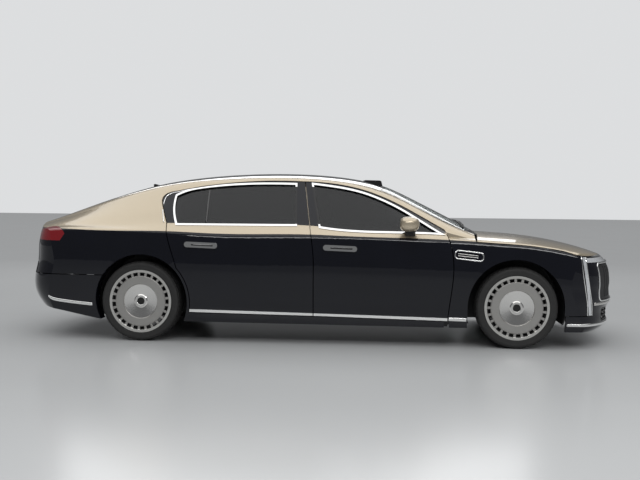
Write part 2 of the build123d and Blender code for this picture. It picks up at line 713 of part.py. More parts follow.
arm_slot = block((HOOD_AXIS[0] + ARM_SLOT_REAR, HOOD_REAR[1]),
                 (-HOOD_ARM_Y - ARM_ROOM, -HOOD_ARM_Y + HOOD_ARM_WIDTH + ARM_ROOM), (800, 1200))
arm_slots = joined(arm_slot, mirror(arm_slot, about=Plane.XZ))
with BuildPart() as cowl:
    add(shaped(CABIN_SHELLS["skin"],
               [roof_zone, block((1200, 1500), (-COWL_Y, COWL_Y), (800, 1200)),
                between_arcs(shifted(SCREEN_FOOT, PANE_GAP), shifted(HOOD_REAR, -HOOD_SWING))],
               [CABIN_SHELLS["glass in"], arm_slots]))
finish(hood, "hood")
finish_pair(fender_right, "fender")
finish(cowl, "cowl")

# Nose: bumper skin with its openings, grille, intake and lamps
def face_prism(width, low, high, corner, middle=0):
    """Prism along the car, a rounded rectangle as seen from in front."""
    with BuildPart() as prism:
        with BuildSketch(Plane.YZ.offset(END_ROOT)):
            with Locations((middle, (low + high) / 2)):
                RectangleRounded(width, high - low, corner)
        extrude(amount=LENGTH)
    return prism.part


GRILLE_WIDTH = 1600
GRILLE_LOW = 430
GRILLE_HIGH = 752
INTAKE_WIDTH = 1480
INTAKE_LOW = 236
INTAKE_HIGH = 360
BAR_PITCH = 48
BAR_SLOT = 30
LAMP_LOW = 768
LAMP_HIGH = 806
LAMP_WIDTH = 570
LAMP_Y = 650
LAMP_CORNER = 12
CORNER_LAMP_WIDTH = 34
GRILLE_CORNER = 34
INTAKE_CORNER = 24
INTAKE_BARS = 36
INTAKE_SLOT = 22
FACE_INSET = 8
FACE_DEPTH = 16
grille_zone = face_prism(GRILLE_WIDTH, GRILLE_LOW, GRILLE_HIGH, GRILLE_CORNER)
intake_zone = face_prism(INTAKE_WIDTH, INTAKE_LOW, INTAKE_HIGH, INTAKE_CORNER)
corner_inner = tuple((x + CORNER_LAMP_WIDTH, z) for x, z in CORNER_LINE)
corner_lamp = side_prism((tuple(reversed(CORNER_LINE)), (CORNER_LINE[0], corner_inner[0]),
                          corner_inner, (corner_inner[-1], CORNER_LINE[-1])))
slim_lamp = face_prism(LAMP_WIDTH, LAMP_LOW, LAMP_HIGH, LAMP_CORNER, -LAMP_Y)
lamp_right = joined(corner_lamp, slim_lamp)
lamps_zone = joined(lamp_right, mirror(lamp_right, about=Plane.XZ))
FACE = (((2212, LIP_LOW), (2480, LIP_LOW)), ((2480, LIP_LOW), (2900, LIP_LOW + 100)),
        ((2900, LIP_LOW + 100), (2900, 812)), ((2900, 812), (2352, 816)),
        ((2352, 816), (2378, 640), (2408, 440), (2422, LIP_Z - PANEL_GAP)),
        ((2422, LIP_Z - PANEL_GAP), (2212, LIP_Z - PANEL_GAP)),
        ((2212, LIP_Z - PANEL_GAP), (2212, LIP_LOW)))
face_right = side_prism(FACE)
face_zone = joined(face_right, mirror(face_right, about=Plane.XZ))
with BuildPart() as front_bumper:
    add(shaped(front_body, [face_zone],
               [front_core, grille_zone, intake_zone, lamps_zone]))
FACE_OUT = end_block(NOSE_PROFILE, NOSE_HALF, NOSE_POWER, NOSE_X, 1, FACE_INSET)
FACE_IN = end_block(NOSE_PROFILE, NOSE_HALF, NOSE_POWER, NOSE_X, 1, FACE_INSET + FACE_DEPTH)
with BuildPart() as grille:
    add(shaped(FACE_OUT, [grille_zone], [FACE_IN]))
    slots = int((GRILLE_WIDTH - 130) / BAR_PITCH)
    with BuildSketch(Plane.YZ.offset(END_ROOT)):
        with GridLocations(BAR_PITCH, 1, slots, 1):
            with Locations((0, (GRILLE_LOW + GRILLE_HIGH) / 2)):
                Rectangle(BAR_SLOT, GRILLE_HIGH - GRILLE_LOW - 50)
    extrude(amount=LENGTH, mode=Mode.SUBTRACT)
with BuildPart() as intake:
    add(shaped(FACE_OUT, [intake_zone], [FACE_IN]))
    with BuildSketch(Plane.YZ.offset(END_ROOT)):
        with GridLocations(1, INTAKE_BARS, 1, 3):
            with Locations((0, (INTAKE_LOW + INTAKE_HIGH) / 2)):
                Rectangle(INTAKE_WIDTH - 60, INTAKE_SLOT)
    extrude(amount=LENGTH, mode=Mode.SUBTRACT)
with BuildPart() as headlamps:
    add(shaped(front_body, [lamps_zone, face_zone], [front_core, grille_zone, intake_zone]))
finish(front_bumper, "front_bumper")
finish(grille, "grille")
finish(intake, "lower_grille")
finish(headlamps, "headlamps")

# Tail: bumper, lid and lamps
tail_body = shaped(CABIN_SHELLS["skin"], [TAIL, block((-3000, -1900), (-WIDTH, WIDTH), (0, 1700))])
tail_core = shaped(CABIN_SHELLS["rail"], [TAIL_DEEP])
TAIL_LOW = ((-2900, 330), (-2520, 292), (-2435, 280), (-2204, 236), (-1900, 180))
bumper_low = strip(tuple((x, z - 400) for x, z in TAIL_LOW), TAIL_LOW)
bumper_low = joined(bumper_low, mirror(bumper_low, about=Plane.XZ))
with BuildPart() as rear_bumper:
    add(shaped(tail_body,
               [joined(block((-3000, -1900), (-WIDTH, WIDTH), (0, BUMPER_Z - PANEL_GAP)),
                       block((-3000, -2300), (-LID_HALF, LID_HALF),
                             (0, LID_SILL_Z - PANEL_GAP)))],
               [tail_core, bumper_low, rear_arch]))
LID_AXIS = (-2080, 1228)
LID_ARM_Y = 406
LID_FLANGE = 60
lid_arm = lever(((-2090, 1228), (-2090, 1160), (-2212, 1160), (-2212, 1180), (-2236, 1180),
                 (-2236, 1142), (-2070, 1142), (-2070, 1228)), LID_AXIS, LID_ARM_Y)
lid_front_edge = shaped(CABIN_SHELLS["door skin"],
                        [block((LID_FRONT_X - LID_FLANGE, LID_FRONT_X), (-WIDTH, WIDTH),
                               (0, 1700))])
with BuildPart() as trunk_lid:
    add(shaped(tail_body, [block((-3000, LID_FRONT_X),
                                 (-LID_HALF + PANEL_GAP, LID_HALF - PANEL_GAP),
                                 (LID_SILL_Z, 1600))], [tail_core, lid_front_edge]))
    add(lid_arm)
    mirror(lid_arm, about=Plane.XZ)
with BuildPart() as tail_lamps:
    add(shaped(tail_body, [tail_lamp_zone],
               [tail_core, block((-3000, 0), (-LID_HALF, LID_HALF), (0, 2000))]))
    mirror(about=Plane.XZ)
finish(rear_bumper, "rear_bumper")
finish(trunk_lid, "trunk_lid")
finish(tail_lamps, "tail_lamps")

# Wheels: tyre, and rim with its hub and brake disc
WHEEL_Y = WHEEL_FACE_Y - TYRE_WIDTH / 2
TYRE_PROFILE = ((258, -100), (300, -122), (338, -122), (TYRE_R, -90), (TYRE_R, 90),
                (338, 122), (300, 122), (258, 100))
HUB_R = 75
HUB_IN = -43.5
DISC_R = 190
DISC_THICKNESS = 25
SPINDLE_R = 30
SPINDLE_END = 64.5
DISH_R = 152
RIM_PROFILE = ((RIM_BARREL_R, -100), (262, -119), (RIM_R, -119), (RIM_R, -113.7), (266, -104.3),
               (258, -100), (258, 100), (266, 104.3), (RIM_R, 113.7), (RIM_R, 119), (262, 119),
               (256, 112), (228, 112), (224, 116), (DISH_R + 6, 116), (DISH_R, 108), (62, 98),
               (52, 104), (36, 104), (32, 101), (0, 101), (0, SPINDLE_END + 2),
               (SPINDLE_R + PIN_CLEARANCE, SPINDLE_END + 2), (SPINDLE_R + PIN_CLEARANCE, HUB_IN),
               (DISC_R, HUB_IN), (DISC_R, HUB_IN + DISC_THICKNESS),
               (HUB_R, HUB_IN + DISC_THICKNESS), (HUB_R, 88), (DISH_R, 98), (DISH_R + 6, 102),
               (RIM_BARREL_R, 102))
RIM_SLOTS = 25
SLOT_R = 244
SLOT_LENGTH = 22
SLOT_WIDTH = 38


def turned(profile, x):
    """Right-hand piece turned about a wheel's axle, from (radius, distance outboard)."""
    with BuildPart() as ring:
        with BuildSketch(Plane((x, -WHEEL_Y, TYRE_R))):
            with BuildLine():
                Polyline(*[(r, -out) for r, out in profile], close=True)
            make_face()
        revolve(axis=Axis((x, -WHEEL_Y, TYRE_R), (0, 1, 0)))
    return ring.part


def rim(x):
    """Right-hand rim with its ring of slots."""
    with BuildPart() as wheel:
        add(turned(RIM_PROFILE, x))
        with BuildSketch(Plane.XZ.offset(WHEEL_Y + 95)):
            with Locations((x, TYRE_R)):
                with PolarLocations(SLOT_R, RIM_SLOTS):
                    Rectangle(SLOT_LENGTH, SLOT_WIDTH)
        extrude(amount=30, mode=Mode.SUBTRACT)
    return wheel.part


with BuildPart() as tyre_front_right:
    add(turned(TYRE_PROFILE, FRONT_AXLE_X))
with BuildPart() as tyre_rear_right:
    add(turned(TYRE_PROFILE, REAR_AXLE_X))
with BuildPart() as rim_front_right:
    add(rim(FRONT_AXLE_X))
with BuildPart() as rim_rear_right:
    add(rim(REAR_AXLE_X))
finish_pair(tyre_front_right, "tyre_front")
finish_pair(tyre_rear_right, "tyre_rear")
finish_pair(rim_front_right, "rim_front")
finish_pair(rim_rear_right, "rim_rear")

# Knuckles and the frames that carry them
KINGPIN_Y = 765
POST_LOW = 190
POST_HIGH = 540
KINGPIN_R = 14
KINGPIN_REACH = 40
ARM_GAP = 6
ARM_DEPTH = 34
ARM_HALF = 30
ARM_BOSS_R = 32
FRAME_HALF = 330
TOWER_HALF = 360
BEAM_LOW = 150
BEAM_HIGH = 230


def post(x):
    """Upright post of the right-hand knuckle with the spindle that carries the wheel."""
    return joined(block((x - 35, x + 35), (-KINGPIN_Y - 20, -KINGPIN_Y + 30),
                        (POST_LOW, POST_HIGH)),
                  across(SPINDLE_R, x, TYRE_R, -WHEEL_Y - SPINDLE_END, -KINGPIN_Y + 15),
                  across(46, x, TYRE_R, -KINGPIN_Y - 24, -KINGPIN_Y))


def link(x, low, bored):
    """Right-hand suspension link at a height, from the tower out to the kingpin."""
    high = low + ARM_DEPTH - 4
    bar = joined(block((x - ARM_HALF, x + ARM_HALF), (-KINGPIN_Y, -FRAME_HALF), (low, high)),
                 upright(ARM_BOSS_R, x, -KINGPIN_Y, low, high))
    if not bored:
        return bar
    return shaped(bar, (), [upright(KINGPIN_R + PIN_CLEARANCE, x, -KINGPIN_Y, low - 5, high + 5)])


with BuildPart() as knuckle_right:
    add(post(FRONT_AXLE_X))
    add(upright(KINGPIN_R, FRONT_AXLE_X, -KINGPIN_Y, POST_LOW - KINGPIN_REACH, POST_LOW))
    add(upright(KINGPIN_R, FRONT_AXLE_X, -KINGPIN_Y, POST_HIGH, POST_HIGH + KINGPIN_REACH))
finish_pair(knuckle_right, "knuckle")

LOW_LINK_Z = POST_LOW - ARM_GAP - ARM_DEPTH + 4
HIGH_LINK_Z = POST_HIGH + ARM_GAP
REAR_HIGH_LINK_Z = 290
with BuildPart() as front_subframe:
    add(link(FRONT_AXLE_X, LOW_LINK_Z, True))
    add(link(FRONT_AXLE_X, HIGH_LINK_Z, True))
    add(block((FRONT_AXLE_X - 50, FRONT_AXLE_X + 50), (-TOWER_HALF, -300),
              (BEAM_LOW, HIGH_LINK_Z + ARM_DEPTH - 4)))
    mirror(about=Plane.XZ)
    add(block((1650, 1920), (-FRAME_HALF, FRAME_HALF), (BEAM_LOW, BEAM_HIGH)))
with BuildPart() as rear_subframe:
    add(post(REAR_AXLE_X))
    add(link(REAR_AXLE_X, POST_LOW, False))
    add(link(REAR_AXLE_X, REAR_HIGH_LINK_Z, False))
    add(block((REAR_AXLE_X - 50, REAR_AXLE_X + 50), (-TOWER_HALF, -280), (BEAM_LOW, 330)))
    mirror(about=Plane.XZ)
    add(block((-1760, -1410), (-FRAME_HALF, FRAME_HALF), (BEAM_LOW, BEAM_HIGH)))
    add(block((-1720, -1450), (-240, 240), (BEAM_HIGH, 320)))
finish(front_subframe, "front_subframe")
finish(rear_subframe, "rear_subframe")

RAIL_IN_Y = TOWER_HALF
RAIL_OUT_Y = 430
RAIL_LOW_Z = 232
RAIL_HIGH_Z = 300
with BuildPart() as power_unit:
    add(block((1500, 2150), (-290, 290), (BEAM_HIGH, 800)))
    add(block((2380, 2420), (-560, 560), (RAIL_HIGH_Z, 740)))
finish(power_unit, "power_unit")

# Floor, firewall, rear wall, shelf, boot floor, wheel liners and front rails
FLOOR_LOW = 180
FLOOR_HIGH = 215
FIREWALL_X = 1190
SHEET = 12
LINER_IN_Y = 495
FRONT_LINER_R = 436
HEEL_X = -1130
BULKHEAD_X = HEEL_X - 140
BULKHEAD_WIDE_Z = 780
SHELF_Z = 1048
BOOT_FLOOR_Z = 330
BOOT_FLOOR_TOP = BOOT_FLOOR_Z + 20
BOOT_REAR_X = -2560
FIREWALL_TOP = 960
BRACKET_END = 10
BRACKET_WALL = 10
BEAM_X = 2540
BEAM_DEPTH = 50
BEAM_HALF = 620
BEAM_TOP = 424


def liner(x, radius, keep, low, links):
    """Right-hand wheel liner: a half barrel and its inner wall, open where links pass."""
    barrel = shaped(across(radius + SHEET, x, ARCH_CENTRE_Z, -WIDTH, -LINER_IN_Y), keep,
                    [across(radius, x, ARCH_CENTRE_Z, -2 * WIDTH, -LINER_IN_Y + 1)])
    wall = across(radius + SHEET, x, ARCH_CENTRE_Z, -LINER_IN_Y, -LINER_IN_Y + SHEET)
    windows = [block((axle - ARM_HALF - 15, axle + ARM_HALF + 15), (-WIDTH, 0),
                     (bottom - 15, bottom + ARM_DEPTH + 11)) for axle, bottom in links]
    return shaped(joined(barrel, wall), [block((x - 700, x + 700), (-WIDTH, 0), (low, 1000))],
                  windows + [door_ring])


inside_cabin = CABIN_SHELLS["rail"]
with BuildPart() as front_liners:
    add(liner(FRONT_ARCH_X, FRONT_LINER_R, [front_core], FLOOR_HIGH,
              [(FRONT_AXLE_X, HIGH_LINK_Z)]))
    mirror(about=Plane.XZ)
with BuildPart() as rear_liners:
    add(liner(REAR_ARCH_X, ARCH_R, [inside_cabin], FLOOR_HIGH,
              [(REAR_AXLE_X, POST_LOW), (REAR_AXLE_X, REAR_HIGH_LINK_Z)]))
    mirror(about=Plane.XZ)
with BuildPart() as floor_panel:
    add(shaped(block((HEEL_X, FIREWALL_X + SHEET), (-WIDTH, WIDTH), (FLOOR_LOW, FLOOR_HIGH)),
               [CABIN_SHELLS["ring"]]))
with BuildPart() as firewall:
    add(shaped(block((FIREWALL_X, FIREWALL_X + SHEET), (-WIDTH, WIDTH),
                     (FLOOR_HIGH, FIREWALL_TOP)), [CABIN_SHELLS["ring"]]))
    add(block((FIREWALL_X, HOOD_AXIS[0] + BRACKET_END),
              (-HOOD_ARM_Y - LEVER_GAP - BRACKET_WALL, -HOOD_ARM_Y - LEVER_GAP),
              (HOOD_AXIS[1] - 14, HOOD_AXIS[1] + BRACKET_END)))
    add(across(LEVER_PIN_R, *HOOD_AXIS, -HOOD_ARM_Y - LEVER_GAP, -HOOD_ARM_Y + HOOD_ARM_WIDTH))
    mirror(about=Plane.XZ)
with BuildPart() as rear_bulkhead:
    add(shaped(block((BULKHEAD_X, BULKHEAD_X + SHEET), (-LINER_IN_Y, LINER_IN_Y),
                     (BOOT_FLOOR_TOP, SHELF_Z)), (), [rear_liners.part]))
    add(shaped(block((BULKHEAD_X, BULKHEAD_X + SHEET), (-WIDTH, WIDTH), (BULKHEAD_WIDE_Z, SHELF_Z)),
               [CABIN_SHELLS["ring"]], [rear_liners.part]))
with BuildPart() as parcel_shelf:
    add(shaped(block((LID_AXIS[0] - 30, BULKHEAD_X + SHEET), (-WIDTH, 0),
                     (SHELF_Z, SHELF_Z + SHEET)), [inside_cabin], [door_ring, rear_liners.part]))
    add(block((LID_AXIS[0] - 14, LID_AXIS[0] + 14),
              (-LID_ARM_Y - LEVER_GAP - BRACKET_WALL, -LID_ARM_Y - LEVER_GAP),
              (SHELF_Z, LID_AXIS[1] + BRACKET_END)))
    add(across(LEVER_PIN_R, *LID_AXIS, -LID_ARM_Y - LEVER_GAP, -LID_ARM_Y + HOOD_ARM_WIDTH))
    mirror(about=Plane.XZ)
with BuildPart() as boot_floor:
    add(shaped(block((BOOT_REAR_X, HEEL_X + SHEET), (-LINER_IN_Y, LINER_IN_Y),
                     (BOOT_FLOOR_Z, BOOT_FLOOR_TOP)), [TAIL_DEEP], [rear_liners.part]))
    add(block((HEEL_X, HEEL_X + SHEET), (-LINER_IN_Y, LINER_IN_Y), (FLOOR_HIGH, BOOT_FLOOR_Z)))
with BuildPart() as front_rails:
    add(block((FIREWALL_X + SHEET, BEAM_X), (-RAIL_OUT_Y, -RAIL_IN_Y), (RAIL_LOW_Z, RAIL_HIGH_Z)))
    mirror(about=Plane.XZ)
    add(block((BEAM_X - BEAM_DEPTH, BEAM_X), (-BEAM_HALF, BEAM_HALF), (RAIL_HIGH_Z, BEAM_TOP)))
    add(block((BEAM_X - BEAM_DEPTH, BEAM_X), (-RAIL_OUT_Y, RAIL_OUT_Y),
              (RAIL_LOW_Z, RAIL_HIGH_Z)))
finish(front_liners, "front_liners")
finish(rear_liners, "rear_liners")
finish(floor_panel, "floor_panel")
finish(firewall, "firewall")
finish(rear_bulkhead, "rear_bulkhead")
finish(parcel_shelf, "parcel_shelf")
finish(boot_floor, "boot_floor")
finish(front_rails, "front_rails")

# Cabin: dashboard with its console, steering wheel and seats
DASH_HALF = 718
SEAT_Y = 370
SEAT_HALF = 255
CONSOLE_HALF = 100
BENCH_HALF = 478


def extruded(points, y_low, y_high):
    """Block with this outline in (x, z) between two widths."""
    with BuildPart() as bar:
        with BuildSketch(Plane.XZ.offset(-y_high)):
            with BuildLine():
                Polyline(*points, close=True)
            make_face()
        extrude(amount=y_high - y_low)
    return bar.part


with BuildPart() as dashboard:
    add(extruded(((FIREWALL_X, 600), (FIREWALL_X, 960), (980, 985), (880, 960), (846, 905),
                  (860, 820), (930, 700), (1040, 600)), -DASH_HALF, DASH_HALF))
    add(extruded(((FIREWALL_X - 100, FLOOR_HIGH), (FIREWALL_X - 100, 600), (1040, 600),
                  (930, 700), (760, 560), (-80, 520), (-120, 480), (-120, FLOOR_HIGH)),
                 -CONSOLE_HALF, CONSOLE_HALF))
WHEEL_TILT = 25
WHEEL_HUB = (690, SEAT_Y, 860)
wheel_plane = Plane(WHEEL_HUB, x_dir=(0, 1, 0),
                    z_dir=(cos(radians(WHEEL_TILT)), 0, -sin(radians(WHEEL_TILT))))
with BuildPart() as steering_wheel:
    with Locations(wheel_plane):
        Torus(175, 14)
        Box(350, 40, 14)
        Cylinder(55, 30)
        Cylinder(20, 260, align=(Align.CENTER, Align.CENTER, Align.MIN))
    add(dashboard.part, mode=Mode.SUBTRACT)
finish(dashboard, "dashboard")
finish(steering_wheel, "steering_wheel")
front_seat = joined(
    extruded(((200, FLOOR_HIGH), (640, FLOOR_HIGH), (680, 380), (160, 380)),
             -SEAT_Y - 180, -SEAT_Y + 180),
    extruded(((160, 380), (720, 400), (745, 460), (700, 505), (300, 470), (130, 1070),
              (70, 1090), (30, 1070), (150, 480)), -SEAT_Y - SEAT_HALF, -SEAT_Y + SEAT_HALF),
    extruded(((60, 1080), (100, 1080), (80, 1230), (20, 1240), (-5, 1200)),
             -SEAT_Y - 130, -SEAT_Y + 130))
rear_seat = joined(
    extruded(((-1118, FLOOR_HIGH), (-600, FLOOR_HIGH), (-540, 370), (-490, 400), (-490, 490),
              (-560, 510), (-930, 470), (-1130, 1080), (-1200, 1110), (-1256, 1080),
              (-1256, 352), (-1118, 352)), -BENCH_HALF, BENCH_HALF),
    extruded(((-540, 370), (-490, 400), (-490, 490), (-560, 510), (-930, 470), (-1050, 836),
              (-1050, 700), (-1040, 370)), -640, 640))
with BuildPart() as seats:
    add(front_seat)
    mirror(about=Plane.XZ)
    add(rear_seat)
finish(seats, "seats")

# Roof sensors: the hump over the windshield and the fin behind
with BuildPart() as roof_sensors:
    with BuildSketch(Plane.XZ.offset(-110)):
        with BuildLine():
            Polyline((396, 1440), (396, 1487), (420, 1494), (560, 1491), (573, 1484),
                     (592, 1410), close=True)
        make_face()
    extrude(amount=220)
    with BuildSketch(Plane.XZ.offset(-9)):
        with BuildLine():
            Polyline((-1714, 1350), (-1714, 1436), (-1700, 1439), (-1622, 1419), (-1622, 1380),
                     close=True)
        make_face()
    extrude(amount=18)
    add(CABIN_SHELLS["skin"], mode=Mode.SUBTRACT)
finish(roof_sensors, "roof_sensors")
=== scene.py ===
from math import cos, pi, radians, sin

import bmesh
import bpy
from mathutils import Matrix, Vector
from mathutils.bvhtree import BVHTree


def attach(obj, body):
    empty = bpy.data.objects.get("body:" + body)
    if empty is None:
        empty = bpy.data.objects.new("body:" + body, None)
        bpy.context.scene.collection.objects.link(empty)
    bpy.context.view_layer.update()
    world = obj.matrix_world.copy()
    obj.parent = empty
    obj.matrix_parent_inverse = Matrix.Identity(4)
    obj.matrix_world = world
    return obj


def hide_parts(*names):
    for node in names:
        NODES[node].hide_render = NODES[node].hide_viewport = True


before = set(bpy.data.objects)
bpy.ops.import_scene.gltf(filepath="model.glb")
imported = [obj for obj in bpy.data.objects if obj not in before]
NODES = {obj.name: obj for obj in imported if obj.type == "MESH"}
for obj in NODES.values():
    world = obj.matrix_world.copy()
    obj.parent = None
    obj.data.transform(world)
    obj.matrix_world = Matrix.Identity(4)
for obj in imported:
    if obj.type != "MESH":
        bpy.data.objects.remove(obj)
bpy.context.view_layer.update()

FRONT_X, REAR_X = 1.785, -1.585
WHEEL_Y, WHEEL_Z = 0.8405, 0.362
RIM_SLOTS = 25
SIDES = (("right", -1), ("left", 1))
HALF_LENGTH, TOP = 2.75, 1.6  # span of the lines below

# Two-tone line on the car's side, (x, z) in metres
SPLIT = ((-2.75, 1.020), (-2.313, 1.012), (-1.991, 1.001), (-1.373, 1.001), (-0.848, 0.984),
         (-0.054, 0.987), (0.384, 0.974), (0.992, 0.962), (1.395, 0.945), (1.813, 0.921),
         (2.078, 0.886), (2.201, 0.862), (2.316, 0.827), (2.75, 0.822))

# Foot of the side windows, (x, z) in metres
BELT = ((-2.75, 1.075), (-1.362, 1.072), (-0.700, 1.071), (-0.061, 1.064), (0.224, 1.039),
        (0.498, 1.029), (0.735, 1.023), (0.998, 1.018), (1.169, 1.008), (2.75, 1.000))


# Materials
class Tree:
    """Short names for building one material's nodes."""

    def __init__(self, name):
        self.mat = bpy.data.materials.new(name)
        self.mat.use_nodes = True
        self.nodes = self.mat.node_tree.nodes
        self.links = self.mat.node_tree.links
        self.shader = self.nodes["Principled BSDF"]

    def node(self, kind, **settings):
        made = self.nodes.new(kind)
        for key, value in settings.items():
            setattr(made, key, value)
        return made

    def link(self, a, b):
        self.links.new(a, b)

    def math(self, operation, a, b=None, c=None):
        made = self.node("ShaderNodeMath", operation=operation)
        for socket, value in zip(made.inputs, (a, b, c)):
            if value is None:
                continue
            if isinstance(value, (int, float)):
                socket.default_value = value
            else:
                self.link(value, socket)
        return made.outputs[0]

    def place(self):
        coords = self.node("ShaderNodeTexCoord")
        parts = self.node("ShaderNodeSeparateXYZ")
        self.link(coords.outputs["Object"], parts.inputs[0])
        return parts.outputs

    def facing(self):
        coords = self.node("ShaderNodeTexCoord")
        parts = self.node("ShaderNodeSeparateXYZ")
        self.link(coords.outputs["Normal"], parts.inputs[0])
        return parts.outputs

    def noise(self, scale, detail=2.0):
        coords = self.node("ShaderNodeTexCoord")
        made = self.node("ShaderNodeTexNoise")
        made.inputs["Scale"].default_value = scale
        made.inputs["Detail"].default_value = detail
        self.link(coords.outputs["Object"], made.inputs["Vector"])
        return made.outputs[0]

    def blend(self, factor, a, b):
        made = self.node("ShaderNodeMix", data_type="RGBA")
        self.link(factor, made.inputs[0])
        for socket, value in ((made.inputs[6], a), (made.inputs[7], b)):
            if isinstance(value, tuple):
                socket.default_value = (*value, 1)
            else:
                self.link(value, socket)
        return made.outputs[2]

    def value(self, factor, a, b):
        """a where factor is 0 and b where it is 1."""
        return self.math("ADD", self.math("MULTIPLY", factor, b - a), a)

    def bump(self, height, strength, distance):
        made = self.node("ShaderNodeBump")
        made.inputs["Strength"].default_value = strength
        made.inputs["Distance"].default_value = distance
        self.link(height, made.inputs["Height"])
        self.link(made.outputs[0], self.shader.inputs["Normal"])

    def set(self, **values):
        names = {"rough": "Roughness", "metal": "Metallic", "coat": "Coat Weight",
                 "coat_rough": "Coat Roughness", "coat_ior": "Coat IOR", "ior": "IOR",
                 "clear": "Transmission Weight",
                 "glow": "Emission Strength", "specular": "Specular IOR Level"}
        for key, value in values.items():
            if key == "colour":
                self.shader.inputs["Base Color"].default_value = (*value, 1)
            elif key == "glow_colour":
                self.shader.inputs["Emission Color"].default_value = (*value, 1)
            else:
                self.shader.inputs[names[key]].default_value = value
        return self


def over_line(t, line):
    """1 above a line on the car's side, 0 below it."""
    x, y, z = t.place()
    curve = t.node("ShaderNodeFloatCurve")
    points = curve.mapping.curves[0].points
    while len(points) < len(line):
        points.new(0.5, 0.5)
    for point, (px, pz) in zip(points, line):
        point.location = ((px + HALF_LENGTH) / (2 * HALF_LENGTH), pz / TOP)
        point.handle_type = "AUTO"
    curve.mapping.update()
    share = t.math("DIVIDE", t.math("ADD", x, HALF_LENGTH), 2 * HALF_LENGTH)
    t.link(share, curve.inputs["Value"])
    return t.math("GREATER_THAN", z, t.math("MULTIPLY", curve.outputs[0], TOP))


def inner_face(t):
    """1 on faces that look towards the middle of the car."""
    x, y, z = t.place()
    nx, ny, nz = t.facing()
    side = t.math("SIGN", y)
    return t.math("LESS_THAN", t.math("MULTIPLY", side, ny), -0.35)


CHAMPAGNE = (0.53, 0.455, 0.34)
MIDNIGHT = (0.0035, 0.004, 0.007)
TRIM_DARK = (0.02, 0.018, 0.017)


def paint(name, always=None, frames=False):
    """Two-tone coachwork: metallic champagne over midnight, with trim on inner faces."""
    t = Tree(name)
    flake = t.noise(900.0)
    soft = t.noise(3.0)
    pale = t.blend(flake, tuple(c * 0.93 for c in CHAMPAGNE), tuple(c * 1.07 for c in CHAMPAGNE))
    dark = t.blend(soft, MIDNIGHT, tuple(c * 1.5 for c in MIDNIGHT))
    if always is None:
        upper = over_line(t, SPLIT)
    else:
        upper = t.math("ADD", always, 0.0)
    if frames:
        upper = t.math("SUBTRACT", upper, over_line(t, BELT))
    body = t.blend(upper, dark, pale)
    inside = inner_face(t)
    t.link(t.blend(inside, body, TRIM_DARK), t.shader.inputs["Base Color"])
    outside = t.math("SUBTRACT", 1.0, inside)
    t.link(t.math("MULTIPLY", t.value(upper, 0.0, 0.62), outside), t.shader.inputs["Metallic"])
    t.link(t.math("ADD", t.math("MULTIPLY", inside, 0.5), t.value(upper, 0.06, 0.28)),
           t.shader.inputs["Roughness"])
    return t.set(coat=1.0, coat_rough=0.02, coat_ior=1.36, specular=0.12).mat


def plain(name, colour, rough, metal=0.0, grain=60.0, spread=0.08, bump=0.0, **more):
    """One material with a fine variation of its colour and roughness."""
    t = Tree(name)
    n = t.noise(grain)
    t.link(t.blend(n, tuple(c * (1 - spread) for c in colour),
                   tuple(min(c * (1 + spread), 1.0) for c in colour)),
           t.shader.inputs["Base Color"])
    t.link(t.value(n, rough * 0.85, min(rough * 1.15, 1.0)), t.shader.inputs["Roughness"])
    if bump:
        t.bump(n, bump, 0.0006)
    return t.set(metal=metal, **more).mat


def leather(name, colour):
    """Leather with its grain."""
    t = Tree(name)
    cells = t.node("ShaderNodeTexVoronoi")
    coords = t.node("ShaderNodeTexCoord")
    t.link(coords.outputs["Object"], cells.inputs["Vector"])
    cells.inputs["Scale"].default_value = 420.0
    n = t.noise(9.0)
    t.link(t.blend(n, tuple(c * 0.86 for c in colour), tuple(c * 1.1 for c in colour)),
           t.shader.inputs["Base Color"])
    t.bump(cells.outputs["Distance"], 0.35, 0.0006)
    return t.set(rough=0.48).mat


MID_X = (FRONT_X + REAR_X) / 2
RIM_FACE_Y = 0.9365
CAP_R, DISH_R, FLANGE_R = 0.0335, 0.152, 0.2565
# Radial span and angular share of the painted shade at the rim's slots
SLOT_SHADE_LOW, SLOT_SHADE_HIGH, SLOT_SHADE_SHARE = 0.2295, 0.2605, 0.325


